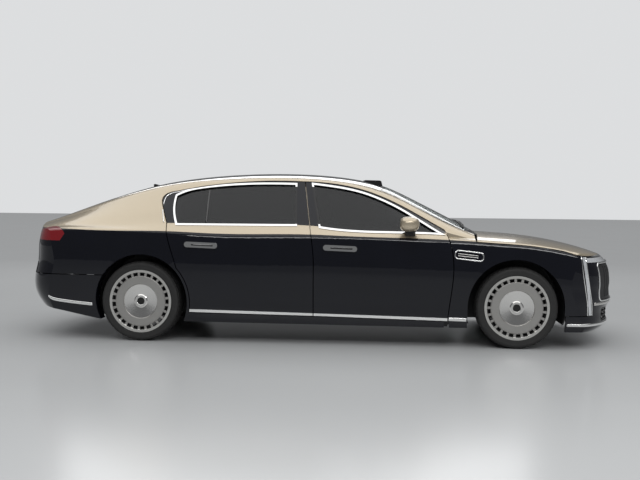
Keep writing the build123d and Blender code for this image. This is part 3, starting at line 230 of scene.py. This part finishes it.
def wheel_metal():
    """Rim: machined flange, satin face and polished dish by radius; painted shade makes the barrel
    inboard of the face, and bands at the slots, near black.
    """
    t = Tree("wheel_metal")
    x, y, z = t.place()
    off = t.math("SUBTRACT", x, MID_X)
    across = t.math("SUBTRACT", off, t.math("MULTIPLY", t.math("SIGN", off), FRONT_X - MID_X))
    up = t.math("SUBTRACT", z, WHEEL_Z)
    radius = t.math("SQRT", t.math("ADD", t.math("MULTIPLY", across, across),
                                   t.math("MULTIPLY", up, up)))
    outboard = t.math("GREATER_THAN", t.math("ABSOLUTE", y), RIM_FACE_Y)
    turned = t.node("ShaderNodeMath", operation="SINE")
    t.link(t.math("MULTIPLY", radius, 3600.0), turned.inputs[0])
    cap = t.math("LESS_THAN", radius, CAP_R)
    ring = t.math("MULTIPLY", t.math("GREATER_THAN", radius, CAP_R),
                  t.math("LESS_THAN", radius, DISH_R))
    flange = t.math("GREATER_THAN", radius, FLANGE_R)
    metal = t.blend(ring, (0.47, 0.46, 0.44), (0.74, 0.73, 0.71))
    metal = t.blend(flange, metal, (0.70, 0.69, 0.66))
    metal = t.blend(cap, metal, (0.006, 0.006, 0.006))
    # Painted shade: near-black, non-metal bands at the slot angles, past the cut slots, stand in for
    # the shade inside the openings.
    pitch = t.math("MULTIPLY", t.math("ARCTAN2", up, across), RIM_SLOTS / (2 * pi))
    off_slot = t.math("ABSOLUTE", t.math("SUBTRACT", pitch, t.math("ROUND", pitch)))
    slot_shade = t.math("MULTIPLY", t.math("LESS_THAN", off_slot, SLOT_SHADE_SHARE),
                  t.math("MULTIPLY", t.math("GREATER_THAN", radius, SLOT_SHADE_LOW),
                         t.math("LESS_THAN", radius, SLOT_SHADE_HIGH)))
    metal = t.blend(slot_shade, metal, (0.01, 0.01, 0.01))
    # Painted shade: all of the rim inboard of its face is near black and not metal, standing in for
    # the shade inside the wheel.
    t.link(t.blend(outboard, (0.012, 0.012, 0.012), metal), t.shader.inputs["Base Color"])
    rough = t.math("ADD", 0.36, t.math("MULTIPLY", ring, -0.26))
    rough = t.math("ADD", rough, t.math("MULTIPLY", flange, -0.08))
    t.link(rough, t.shader.inputs["Roughness"])
    bare = t.math("MULTIPLY", t.math("SUBTRACT", 1.0, cap), t.math("SUBTRACT", 1.0, slot_shade))
    t.link(t.math("MULTIPLY", outboard, bare), t.shader.inputs["Metallic"])
    t.bump(turned.outputs[0], 0.12, 0.0002)
    return t.mat


def surround():
    """Window surround: bright along the windows, black up the middle pillar."""
    t = Tree("window_surround")
    x, y, z = t.place()
    pillar = t.math("MULTIPLY", t.math("GREATER_THAN", x, -0.245), t.math("LESS_THAN", x, 0.075))
    pillar = t.math("MULTIPLY", pillar, t.math("GREATER_THAN", z, 1.078))
    pillar = t.math("MULTIPLY", pillar, t.math("LESS_THAN", z, 1.415))
    n = t.noise(25.0)
    bright = t.blend(n, (0.84, 0.84, 0.83), (0.88, 0.88, 0.87))
    t.link(t.blend(pillar, bright, (0.006, 0.006, 0.0065)), t.shader.inputs["Base Color"])
    t.link(t.math("SUBTRACT", 1.0, pillar), t.shader.inputs["Metallic"])
    return t.set(rough=0.07).mat


def glass(name, tint, clear):
    """Window glass, tinted in the mass."""
    t = Tree(name)
    n = t.noise(2.0)
    t.link(t.blend(n, tint, tuple(c * 1.15 for c in tint)), t.shader.inputs["Base Color"])
    return t.set(rough=0.0, ior=1.45, clear=clear, specular=0.5).mat


def rubber(name):
    """Tyre rubber with a fine grain."""
    t = Tree(name)
    n = t.noise(40.0, 5.0)
    t.link(t.blend(n, (0.012, 0.012, 0.012), (0.024, 0.0235, 0.023)), t.shader.inputs["Base Color"])
    t.bump(n, 0.25, 0.0008)
    return t.set(rough=0.72).mat


PAINT = paint("coachwork_paint")
PAINT_PALE = paint("champagne_paint", 1.0)
PAINT_DARK = paint("midnight_paint", 0.0)
PAINT_DOOR = paint("door_paint", None, True)
WHEEL = wheel_metal()
CHROME = plain("bright_chrome", (0.86, 0.86, 0.85), 0.07, 1.0, 25.0, 0.03)
SURROUND = surround()
MIRROR_GLASS = plain("mirror_glass", (0.55, 0.57, 0.58), 0.02, 1.0, 4.0, 0.02)
PLATE = plain("blank_plate", (0.78, 0.78, 0.76), 0.4, 0.0, 500.0, 0.03)
SATIN = plain("satin_metal", (0.62, 0.61, 0.59), 0.28, 1.0, 200.0, 0.06)
BLACK_GLOSS = plain("black_gloss", (0.006, 0.006, 0.0065), 0.05, 0.0, 8.0, 0.2, coat=1.0)
BLACK_GLASS = plain("roof_glass", (0.004, 0.0045, 0.005), 0.03, 0.0, 5.0, 0.2, coat=1.0,
                    coat_rough=0.01)
DARK = plain("dark_plastic", (0.018, 0.018, 0.019), 0.55, 0.0, 300.0, 0.25, 0.2)
STEEL = plain("chassis_steel", (0.055, 0.056, 0.06), 0.5, 0.6, 90.0, 0.2, 0.15)
HIDE = leather("cabin_leather", (0.10, 0.062, 0.04))
PRIVACY = glass("privacy_glass", (0.05, 0.055, 0.06), 0.9)
CLEAR = glass("screen_glass", (0.42, 0.47, 0.46), 0.95)
TYRE = rubber("tyre_rubber")
RED = plain("red_lens", (0.16, 0.002, 0.006), 0.08, 0.0, 400.0, 0.15, coat=1.0,
            glow_colour=(0.7, 0.01, 0.02), glow=0.05)
LAMP = plain("clear_lens", (0.72, 0.74, 0.76), 0.06, 0.35, 500.0, 0.1, coat=1.0)

LOOKS = {
    "roof": BLACK_GLASS, "windshield": CLEAR, "rear_window": PRIVACY, "cowl": DARK, "hood": PAINT_PALE,
    "front_bumper": PAINT_DARK, "rear_bumper": PAINT_DARK, "grille": DARK, "lower_grille": DARK,
    "headlamps": LAMP, "tail_lamps": RED, "power_unit": STEEL,
    "front_subframe": STEEL, "rear_subframe": STEEL, "dashboard": DARK, "steering_wheel": HIDE,
    "seats": HIDE, "roof_sensors": BLACK_GLOSS, "trunk_lid": PAINT,
}
for name in ("floor_panel", "firewall", "rear_bulkhead", "parcel_shelf", "boot_floor", "front_rails",
             "front_liners", "rear_liners"):
    LOOKS[name] = DARK
for name, node in NODES.items():
    stem = name.rsplit("_", 1)[0] if name.endswith(("_left", "_right")) else name
    look = LOOKS.get(name)
    if look is None:
        look = {"tyre": TYRE, "rim": WHEEL, "knuckle": STEEL, "glass": PRIVACY, "trim": SURROUND,
                "mirror": PAINT_PALE, "door": PAINT_DOOR}.get(stem.split("_")[0], PAINT)
    node.data.materials.clear()
    node.data.materials.append(look)


# Building pieces
def mesh_piece(name, verts, faces, material, body, smooth=True):
    """New mesh object that rides on a body."""
    mesh = bpy.data.meshes.new(name)
    mesh.from_pydata(verts, [], faces)
    mesh.update()
    if smooth:
        mesh.polygons.foreach_set("use_smooth", [True] * len(mesh.polygons))
    mesh.materials.append(material)
    piece = bpy.data.objects.new(name, mesh)
    bpy.context.scene.collection.objects.link(piece)
    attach(piece, body)
    return piece


def face_outwards(piece):
    """Turn all faces of a piece to look outwards."""
    work = bmesh.new()
    work.from_mesh(piece.data)
    bmesh.ops.recalc_face_normals(work, faces=work.faces)
    work.to_mesh(piece.data)
    work.free()


def turned_mesh(profile, count, centre, side, depth_of):
    """Closed ring turned about a wheel's axle, from (radius, distance outboard) points."""
    verts, faces = [], []
    rows = len(profile)
    for i in range(count):
        turn = 2 * pi * i / count
        for j, (r, out) in enumerate(profile):
            r -= depth_of(i, j)
            verts.append((centre[0] + r * cos(turn), centre[1] + side * out,
                          centre[2] + r * sin(turn)))
    for i in range(count):
        k = (i + 1) % count
        for j in range(rows):
            n = (j + 1) % rows
            face = (i * rows + j, i * rows + n, k * rows + n, k * rows + j)
            faces.append(face if side > 0 else face[::-1])
    return verts, faces


# Tyres: tread ribs with cross grooves, rounded shoulders and a rim guard
TREAD = []
for low, high in ((-0.103, -0.062), (-0.054, -0.020), (-0.012, 0.012), (0.020, 0.054),
                  (0.062, 0.103)):
    TREAD += [(low - 0.0004, 0.3535), (low + 0.0014, 0.3615), (high - 0.0014, 0.3615),
              (high + 0.0004, 0.3535)]
TREAD = [(r - 26.0 * max(abs(out) - 0.07, 0) ** 2 * 0.22, out) for out, r in TREAD]
WALL = [(0.351, 0.1105), (0.343, 0.1175), (0.333, 0.1215), (0.324, 0.1220), (0.322, 0.1212),
        (0.312, 0.1215), (0.302, 0.1200), (0.296, 0.1195), (0.290, 0.1185), (0.286, 0.1160),
        (0.284, 0.1110), (0.262, 0.0990), (0.2605, 0.0960)]
TYRE_PROFILE = ([(r, -out) for r, out in reversed(WALL)] + TREAD + WALL)
FIRST = len(WALL)
TYRE_STEPS = 288


def groove(i, j):
    """Depth of the cross grooves at step i round the tyre and row j of its profile."""
    rib, corner = divmod(j - FIRST, 4)
    if not 0 <= rib < 5 or corner in (0, 3):
        return 0.0
    if rib in (0, 4):
        return 0.0055 if i % 6 == 0 else 0.0
    if rib in (1, 3):
        return 0.003 if (i + 3) % 6 == 0 else 0.0
    return 0.0


for end, x in (("front", FRONT_X), ("rear", REAR_X)):
    for side_name, side in SIDES:
        verts, faces = turned_mesh(TYRE_PROFILE, TYRE_STEPS, (x, side * WHEEL_Y, WHEEL_Z), side,
                                   groove)
        tyre = mesh_piece("tyre_%s_%s_tread" % (end, side_name), verts, faces, TYRE,
                          "wheel_%s_%s" % (end, side_name), smooth=False)
        for polygon in tyre.data.polygons:
            row = polygon.vertices[0] % len(TYRE_PROFILE)
            polygon.use_smooth = not FIRST - 1 <= row < FIRST + len(TREAD)
        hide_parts("tyre_%s_%s" % (end, side_name))


# Trim that follows the body: strips laid along paths found on the CAD surface
def search_tree(names):
    """Tree for finding points on the surface of these nodes."""
    verts, polys = [], []
    for name in names:
        mesh = NODES[name].data
        base = len(verts)
        verts += [v.co.copy() for v in mesh.vertices]
        polys += [[base + i for i in p.vertices] for p in mesh.polygons]
    return BVHTree.FromPolygons(verts, polys)


def both_sides(*stems):
    return [stem + "_" + side for stem in stems for side in ("right", "left")]


BODY = search_tree(both_sides("body_side", "fender", "door_front", "door_rear")
                   + ["front_bumper", "rear_bumper", "hood", "headlamps", "tail_lamps"])
GLASS = search_tree(both_sides("glass_front", "glass_rear"))
HANDLES = search_tree(both_sides("trim_front", "trim_rear"))
NOSE_FULL = search_tree(["front_bumper", "headlamps", "hood"] + both_sides("fender"))


def side_hit(tree, x, z, side):
    """Point on the car's side at this x and z."""
    place, normal, _, _ = tree.ray_cast(Vector((x, side * 1.4, z)), Vector((0, -side, 0)))
    if place is None:
        return None
    if normal.y * side < 0:
        normal = -normal
    return place, normal


def nose_hit(tree, turn, z):
    """Point on the nose seen from outside along a level line at this turn from ahead."""
    ahead = Vector((cos(turn), sin(turn), 0))
    start = Vector((2.0, 0, z)) + ahead * 3.2
    place, normal, _, _ = tree.ray_cast(start, -ahead)
    if place is None:
        return None
    if normal.dot(ahead) < 0:
        normal = -normal
    return place, normal


def smooth_path(points, steps):
    """Points along a smooth line through the given ones."""
    result = []
    count = len(points)
    for i in range(count - 1):
        p0, p1 = points[max(i - 1, 0)], points[i]
        p2, p3 = points[i + 1], points[min(i + 2, count - 1)]
        for k in range(steps):
            s = k / steps
            result.append(tuple(0.5 * (2 * b + (c - a) * s + (2 * a - 5 * b + 4 * c - d) * s * s
                                       + (3 * b - a - 3 * c + d) * s ** 3)
                                for a, b, c, d in zip(p0, p1, p2, p3)))
    result.append(tuple(points[-1]))
    return result


def strip(name, hits, width, height, material, body, loop=False, sink=0.0015, lift=0.0):
    """Half-round strip along hits (place, normal); width is a number or one per hit."""
    hits = [hit for hit in hits if hit]
    count = len(hits)
    verts, faces = [], []
    shape = ((-0.5, -1.0), (-0.48, 0.55), (-0.3, 0.92), (0.0, 1.0), (0.3, 0.92), (0.48, 0.55),
             (0.5, -1.0))
    rows = len(shape)
    for i, (place, normal) in enumerate(hits):
        before = hits[(i - 1) % count if loop else max(i - 1, 0)][0]
        after = hits[(i + 1) % count if loop else min(i + 1, count - 1)][0]
        along = (after - before).normalized()
        cross = normal.cross(along).normalized()
        wide = width[i] if isinstance(width, (list, tuple)) else width
        for a, b in shape:
            rise = lift + (height * b if b > 0 else -sink)
            verts.append(place + cross * a * wide + normal * rise)
    for i in range(count if loop else count - 1):
        k = (i + 1) % count
        for j in range(rows):
            n = (j + 1) % rows
            faces.append((i * rows + j, k * rows + j, k * rows + n, i * rows + n))
    if not loop:
        faces.append(tuple(range(rows)))
        faces.append(tuple(reversed(range((count - 1) * rows, count * rows))))
    piece = mesh_piece(name, verts, faces, material, body)
    face_outwards(piece)
    return piece


def rounded_loop(cx, cz, half_x, half_z, radius, turn, count=8):
    """Rounded rectangle in a side or front plane, turned about its middle."""
    points = []
    for qx, qz, start in ((1, 1, 0), (-1, 1, 90), (-1, -1, 180), (1, -1, 270)):
        for k in range(count + 1):
            a = radians(start + 90 * k / count)
            points.append((qx * (half_x - radius) + radius * cos(a),
                           qz * (half_z - radius) + radius * sin(a)))
    dense = []
    for (ax, az), (bx, bz) in zip(points, points[1:] + points[:1]):
        gap = max(abs(bx - ax), abs(bz - az))
        parts = max(1, int(gap / 0.012))
        dense += [(ax + (bx - ax) * k / parts, az + (bz - az) * k / parts) for k in range(parts)]
    return [(cx + x * cos(turn) - z * sin(turn), cz + x * sin(turn) + z * cos(turn))
            for x, z in dense]


CORNER_LINE = ((2.345, 0.820), (2.366, 0.649), (2.406, 0.416), (2.414, 0.300))
HANDLE_SLOPE = radians(-2)


def along_side(points, side, steps=10, tree=BODY):
    """Hits along a smooth line on one side of the car."""
    return [side_hit(tree, x, z, side) for x, z in smooth_path(points, steps)]


for side_name, side in SIDES:
    strip("sill_strip_" + side_name,
          along_side(((1.190, 0.254), (1.260, 0.252), (1.346, 0.250)), side),
          0.033, 0.005, CHROME, "chassis")
    rear_path = ((-2.455, 0.392), (-2.400, 0.364), (-2.250, 0.344), (-2.035, 0.325))
    hits = along_side(rear_path, side, 14)
    strip("rear_strip_" + side_name, hits,
          [0.012 + 0.016 * min(i / 12, 1) for i in range(len(hits))], 0.006, CHROME, "chassis")
    pod = rounded_loop(1.361, 0.819, 0.124, 0.036, 0.030, radians(-6))
    strip("fender_frame_" + side_name, [side_hit(BODY, x, z, side) for x, z in pod], 0.011, 0.006,
          CHROME, "chassis", loop=True)
    for k, low in enumerate((0.008, -0.010)):
        bar = ((1.262, 0.829 + low), (1.361, 0.819 + low), (1.440, 0.811 + low))
        strip("fender_bar_%d_%s" % (k, side_name), along_side(bar, side), 0.007, 0.004, SATIN,
              "chassis")
    for k, shift in enumerate((-0.006, 0.038)):
        strip("corner_edge_%d_%s" % (k, side_name),
              along_side([(x + shift, z) for x, z in CORNER_LINE], side, 14), 0.008, 0.005,
              CHROME, "chassis")
    quarter = ((-1.392, 1.078), (-1.414, 1.180), (-1.416, 1.262), (-1.398, 1.318),
               (-1.352, 1.345), (-1.292, 1.357), (-1.180, 1.382), (-0.992, 1.411))
    strip("quarter_line_" + side_name, along_side(quarter, side, 8), 0.009, 0.004, CHROME,
          "door_rear_" + side_name)
    strip("glass_bar_" + side_name,
          along_side(((-1.000, 1.078), (-1.000, 1.230), (-1.000, 1.394)), side, 6, GLASS),
          0.016, 0.003, BLACK_GLOSS, "door_rear_" + side_name)
    # Painted shade: a black gloss strip along each door handle stands in for the shade in the handle's
    # slot.
    for stem, x, z in (("door_front", 0.225, 0.869), ("door_rear", -1.027, 0.881)):
        gap_shade_path = [(x + s, z + s * sin(HANDLE_SLOPE)) for s in (-0.085, -0.03, 0.03, 0.11)]
        strip("%s_grip_%s" % (stem, side_name), along_side(gap_shade_path, side, 4, HANDLES), 0.017,
              0.0015, BLACK_GLOSS, "%s_%s" % (stem, side_name))


# Bright lines round the nose
def round_nose(z, limit, count=90):
    """Hits round the nose at one height, by as far as this turn on each side."""
    return [nose_hit(NOSE_FULL, limit * (2 * k / (count - 1) - 1), z) for k in range(count)]


strip("nose_lip", round_nose(0.215, radians(82)), 0.026, 0.007, CHROME, "chassis")
for k, (z, width) in enumerate(((0.398, 0.026), (0.213, 0.010))):
    strip("nose_line_%d" % k, round_nose(z, radians(61)), width, 0.005, SATIN, "chassis")


frame_hits = []
for y, z in rounded_loop(0.0, 0.591, 0.806, 0.167, 0.036, 0.0):
    place, normal, _, _ = NOSE_FULL.ray_cast(Vector((3.2, y, z)), Vector((-1, 0, 0)))
    if place is not None:
        frame_hits.append((place, normal if normal.x > 0 else -normal))
strip("grille_frame", frame_hits, 0.014, 0.008, CHROME, "chassis", loop=True)


# Seats: leather pads with crowned sides and sewn channels
def rounded_profile(points, rounds=3):
    """Closed outline with its corners cut back until it is smooth."""
    for _ in range(rounds):
        cut = []
        for (ax, az), (bx, bz) in zip(points, points[1:] + points[:1]):
            cut.append((0.75 * ax + 0.25 * bx, 0.75 * az + 0.25 * bz))
            cut.append((0.25 * ax + 0.75 * bx, 0.25 * az + 0.75 * bz))
        points = cut
    dense = []
    for (ax, az), (bx, bz) in zip(points, points[1:] + points[:1]):
        parts = max(1, int(((bx - ax) ** 2 + (bz - az) ** 2) ** 0.5 / 0.010))
        dense += [(ax + (bx - ax) * k / parts, az + (bz - az) * k / parts) for k in range(parts)]
    return dense


def dent(distance, width, depth):
    """Depth of a soft dent at a distance from its middle."""
    return depth * 2.718 ** (-(distance / width) ** 2)


def pad(name, outline, low, high, material, round_off=0.035, seams=(), channels=()):
    """Upholstered pad: an (x, z) outline across the car between two y values."""
    ring = rounded_profile(list(outline))
    count = len(ring)
    area = sum(a[0] * b[1] - b[0] * a[1] for a, b in zip(ring, ring[1:] + ring[:1]))
    turn = 1 if area > 0 else -1
    inward = []
    for (ax, az), (bx, bz) in zip(ring[-1:] + ring[:-1], ring[1:] + ring[:1]):
        dx, dz = bx - ax, bz - az
        size = (dx * dx + dz * dz) ** 0.5
        inward.append((-dz / size * turn, dx / size * turn))
    half = (high - low) / 2
    rows = []
    for k in range(9):
        share = cos(pi / 2 * k / 8)
        rows.append((low + round_off * (1 - share * share) * (k / 8),
                     round_off * (1 - sin(pi / 2 * k / 8))))
    steps = max(6, int((high - low - 2 * round_off) / 0.012))
    body = [(low + round_off + (high - low - 2 * round_off) * k / steps, 0.0)
            for k in range(steps + 1)]
    rows = rows[:-1] + body + [(low + high - y, inset) for y, inset in reversed(rows[:-1])]
    verts, faces = [], []
    for y, inset in rows:
        dip = sum(dent(y - seam, 0.007, 0.007) for seam in seams)
        crown = 0.006 * ((y - (low + high) / 2) / half) ** 2
        for (x, z), (nx, nz) in zip(ring, inward):
            sewn = sum(dent(((x - cx) ** 2 + (z - cz) ** 2) ** 0.5, 0.011, 0.006)
                       for cx, cz in channels)
            depth = inset + dip + crown + sewn
            verts.append((x + nx * depth, y, z + nz * depth))
    for i in range(len(rows) - 1):
        for j in range(count):
            n = (j + 1) % count
            faces.append((i * count + j, i * count + n, (i + 1) * count + n, (i + 1) * count + j))
    faces.append(tuple(range(count)))
    faces.append(tuple(reversed(range((len(rows) - 1) * count, len(rows) * count))))
    piece = mesh_piece(name, verts, faces, material, "chassis")
    face_outwards(piece)
    return piece


def between(a, b, count):
    """Points set evenly between two others, ends left out."""
    return [(a[0] + (b[0] - a[0]) * k / (count + 1), a[1] + (b[1] - a[1]) * k / (count + 1))
            for k in range(1, count + 1)]


SEAT_Y = 0.370
SEAT_BASE = ((0.200, 0.216), (0.640, 0.216), (0.680, 0.378), (0.162, 0.378))
CUSHION = ((0.250, 0.384), (0.720, 0.402), (0.743, 0.458), (0.700, 0.503), (0.305, 0.468))
BACKREST = ((0.162, 0.384), (0.245, 0.388), (0.296, 0.470), (0.130, 1.068), (0.070, 1.088),
            (0.032, 1.068), (0.150, 0.480))
HEADREST = ((0.062, 1.092), (0.099, 1.092), (0.080, 1.228), (0.022, 1.238), (-0.003, 1.200))
BENCH = ((-0.925, 0.356), (-0.548, 0.372), (-0.492, 0.402), (-0.492, 0.488), (-0.560, 0.508),
         (-0.925, 0.470))
BENCH_BACK = ((-1.115, 0.356), (-0.935, 0.356), (-0.932, 0.472), (-1.130, 1.078),
              (-1.200, 1.108), (-1.254, 1.078), (-1.254, 0.640))
front_channels = between((0.700, 0.503), (0.305, 0.468), 5)
back_channels = between((0.296, 0.470), (0.130, 1.068), 8)
rear_channels = between((-0.560, 0.508), (-0.925, 0.470), 5)
rear_back_channels = between((-0.932, 0.472), (-1.130, 1.078), 8)
seat_pieces = []
for side_name, side in SIDES:
    middle = side * SEAT_Y
    seat_pieces += [
        pad("seat_base_" + side_name, SEAT_BASE, middle - 0.178, middle + 0.178, DARK, 0.015),
        pad("seat_cushion_" + side_name, CUSHION, middle - 0.252, middle + 0.252, HIDE,
            seams=(middle - 0.165, middle + 0.165), channels=front_channels),
        pad("seat_back_" + side_name, BACKREST, middle - 0.252, middle + 0.252, HIDE,
            seams=(middle - 0.165, middle + 0.165), channels=back_channels),
        pad("headrest_" + side_name, HEADREST, middle - 0.128, middle + 0.128, HIDE, 0.03)]
for place, low, high in (("right", -0.636, -0.166), ("middle", -0.158, 0.158),
                         ("left", 0.166, 0.636)):
    seat_pieces.append(pad("bench_cushion_" + place, BENCH, low, high, HIDE,
                           channels=rear_channels, seams=((low + high) / 2 - 0.12,
                                                          (low + high) / 2 + 0.12)))
for place, low, high in (("right", -0.476, -0.166), ("middle", -0.158, 0.158),
                         ("left", 0.166, 0.476)):
    seat_pieces.append(pad("bench_back_" + place, BENCH_BACK, low, high, HIDE,
                           channels=rear_back_channels))
for piece in seat_pieces:
    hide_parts("seats")


# Mirrors: rounded shells on dark feet, with their glass
def bulge(value, power):
    """Power of a value that keeps its sign."""
    return (abs(value) ** power) * (1 if value >= 0 else -1)


FOOT_SIDES = 24
for side_name, side in SIDES:
    body = "door_front_" + side_name
    verts, faces = [], []
    rows, count = 20, 40
    centre = Vector((0.838, side * 1.012, 1.092))
    for i in range(rows + 1):
        lean = -pi / 2 + pi * i / rows
        for j in range(count):
            spin = 2 * pi * j / count
            x = bulge(sin(lean), 0.8)
            y = bulge(cos(lean), 0.55) * bulge(cos(spin), 0.72)
            z = bulge(cos(lean), 0.55) * bulge(sin(spin), 0.72)
            taper = 1 - 0.16 * max(x, 0)
            verts.append(centre + Vector((x * (0.082 if x > 0 else 0.090), y * 0.114 * taper,
                                          z * 0.066 * taper)))
    for i in range(rows):
        for j in range(count):
            n = (j + 1) % count
            faces.append((i * count + j, i * count + n, (i + 1) * count + n, (i + 1) * count + j))
    shell = mesh_piece("mirror_shell_" + side_name, verts, faces, PAINT_PALE, body)
    clean = bmesh.new()
    clean.from_mesh(shell.data)
    bmesh.ops.remove_doubles(clean, verts=clean.verts, dist=0.00001)
    bmesh.ops.recalc_face_normals(clean, faces=clean.faces)
    for face in clean.faces:
        if face.calc_center_median().x < centre.x - 0.086:
            face.material_index = 1
    clean.to_mesh(shell.data)
    clean.free()
    shell.data.materials.append(MIRROR_GLASS)
    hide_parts("mirror_" + side_name)
    foot, faces = [], []
    levels = ((1.036, 0.050, 0.020, 0.998), (1.020, 0.046, 0.017, 0.985),
              (1.000, 0.044, 0.016, 0.955), (0.988, 0.050, 0.018, 0.925))
    for z, long, wide, out in levels:
        for j in range(FOOT_SIDES):
            spin = 2 * pi * j / FOOT_SIDES
            foot.append((0.842 + long * cos(spin), side * (out + wide * sin(spin)), z))
    for i in range(len(levels) - 1):
        here = i * FOOT_SIDES
        above = here + FOOT_SIDES
        for j in range(FOOT_SIDES):
            n = (j + 1) % FOOT_SIDES
            faces.append((here + j, here + n, above + n, above + j))
    faces += [tuple(range(FOOT_SIDES)), tuple(reversed(range(len(foot) - FOOT_SIDES, len(foot))))]
    mesh_piece("mirror_foot_" + side_name, foot, faces, DARK, body)

# Wipers on the screen's foot, and blank plate and lamp bar across the lid
SCREEN = search_tree(["windshield", "cowl"])
LID = search_tree(["trunk_lid"])


def top_hit(tree, x, y):
    """Point on top of the car at this x and y."""
    place, normal, _, _ = tree.ray_cast(Vector((x, y, 3.0)), Vector((0, 0, -1)))
    if place is None:
        return None
    return place, normal if normal.z > 0 else -normal


def tail_hit(tree, y, z):
    """Point on the tail at this y and z."""
    place, normal, _, _ = tree.ray_cast(Vector((-3.5, y, z)), Vector((1, 0, 0)))
    if place is None:
        return None
    return place, normal if normal.x < 0 else -normal


WIPERS = (((1.326, -0.640), (1.316, 0.020)), ((1.342, 0.030), (1.258, 0.680)))
for k, (start, end) in enumerate(WIPERS):
    blade = [top_hit(SCREEN, start[0] + (end[0] - start[0]) * s / 30,
                     start[1] + (end[1] - start[1]) * s / 30) for s in range(31)]
    strip("wiper_blade_%d" % k, blade, 0.012, 0.012, DARK, "chassis", lift=0.004)
    arm = [hit for hit in blade[4:20] if hit]
    strip("wiper_arm_%d" % k, arm, 0.020, 0.008, BLACK_GLOSS, "chassis",
          lift=0.016)
bar = [tail_hit(LID, y / 50, 0.958) for y in range(-31, 32)]
strip("lamp_bar", bar, 0.030, 0.004, RED, "trunk_lid")
strip("lid_line", [(hit[0] + Vector((0, 0, -0.025)), hit[1]) for hit in bar if hit], 0.007, 0.004,
      CHROME, "trunk_lid")
plate = [tail_hit(LID, y / 50, 0.830) for y in range(-11, 12)]
strip("rear_plate", plate, 0.130, 0.003, PLATE, "trunk_lid")

# Floor, light and camera
floor_mesh = bpy.data.meshes.new("floor")
REACH = 60
floor_mesh.from_pydata([(-REACH, -REACH, 0), (REACH, -REACH, 0), (REACH, REACH, 0),
                        (-REACH, REACH, 0)], [], [(0, 1, 2, 3)])
floor = bpy.data.objects.new("floor", floor_mesh)
bpy.context.scene.collection.objects.link(floor)
t = Tree("floor_pale")
n = t.noise(0.8)
t.link(t.blend(n, (0.53, 0.54, 0.545), (0.56, 0.57, 0.575)), t.shader.inputs["Base Color"])
t.set(rough=0.22)
floor_mesh.materials.append(t.mat)

world = bpy.data.worlds.new("studio")
bpy.context.scene.world = world
world.use_nodes = True
wt = world.node_tree
background = wt.nodes["Background"]
path = wt.nodes.new("ShaderNodeLightPath")
mix = wt.nodes.new("ShaderNodeMix")
mix.data_type = "RGBA"
mix.inputs[6].default_value = (0.15, 0.153, 0.157, 1)
mix.inputs[7].default_value = (0.72, 0.73, 0.74, 1)
wt.links.new(path.outputs["Is Camera Ray"], mix.inputs[0])
wt.links.new(mix.outputs[2], background.inputs["Color"])


def softbox(name, place, aim, size, power):
    """Plain rectangular lamp turned to its aim."""
    lamp = bpy.data.lights.new(name, "AREA")
    lamp.shape = "RECTANGLE"
    lamp.size, lamp.size_y = size
    lamp.energy = power
    piece = bpy.data.objects.new(name, lamp)
    bpy.context.scene.collection.objects.link(piece)
    piece.location = place
    piece.rotation_euler = (Vector(aim) - Vector(place)).to_track_quat("-Z", "Y").to_euler()


dome = bpy.data.lights.new("dome", "SUN")
dome.energy = 2.3
dome.angle = radians(100)
overhead = bpy.data.objects.new("dome", dome)
bpy.context.scene.collection.objects.link(overhead)
softbox("key_side", (1.5, -7.0, 4.6), (0, 0, 0.8), (9.0, 0.7), 170)
softbox("far_side", (-1, 8.0, 4.5), (0, 0, 0.8), (9.0, 2.0), 120)

F_PIXELS = 900.0
YAW, PITCH, ROLL = radians(4.39), radians(-2.58), radians(0.58)
forward = Vector((-sin(YAW) * cos(PITCH), cos(YAW) * cos(PITCH), sin(PITCH)))
level = Vector((cos(YAW), sin(YAW), 0))
over = level.cross(forward)
right = level * cos(ROLL) + over * sin(ROLL)
up = over * cos(ROLL) - level * sin(ROLL)
lens = bpy.data.cameras.new("camera")
lens.sensor_width = 36.0
lens.lens = F_PIXELS * 36.0 / 640.0
camera = bpy.data.objects.new("camera", lens)
bpy.context.scene.collection.objects.link(camera)
pose = Matrix((right, up, -forward)).transposed().to_4x4()
pose.translation = Vector((0.656, -8.938, 1.300))
camera.matrix_world = pose
bpy.context.scene.camera = camera
bpy.context.scene.view_settings.view_transform = "Standard"
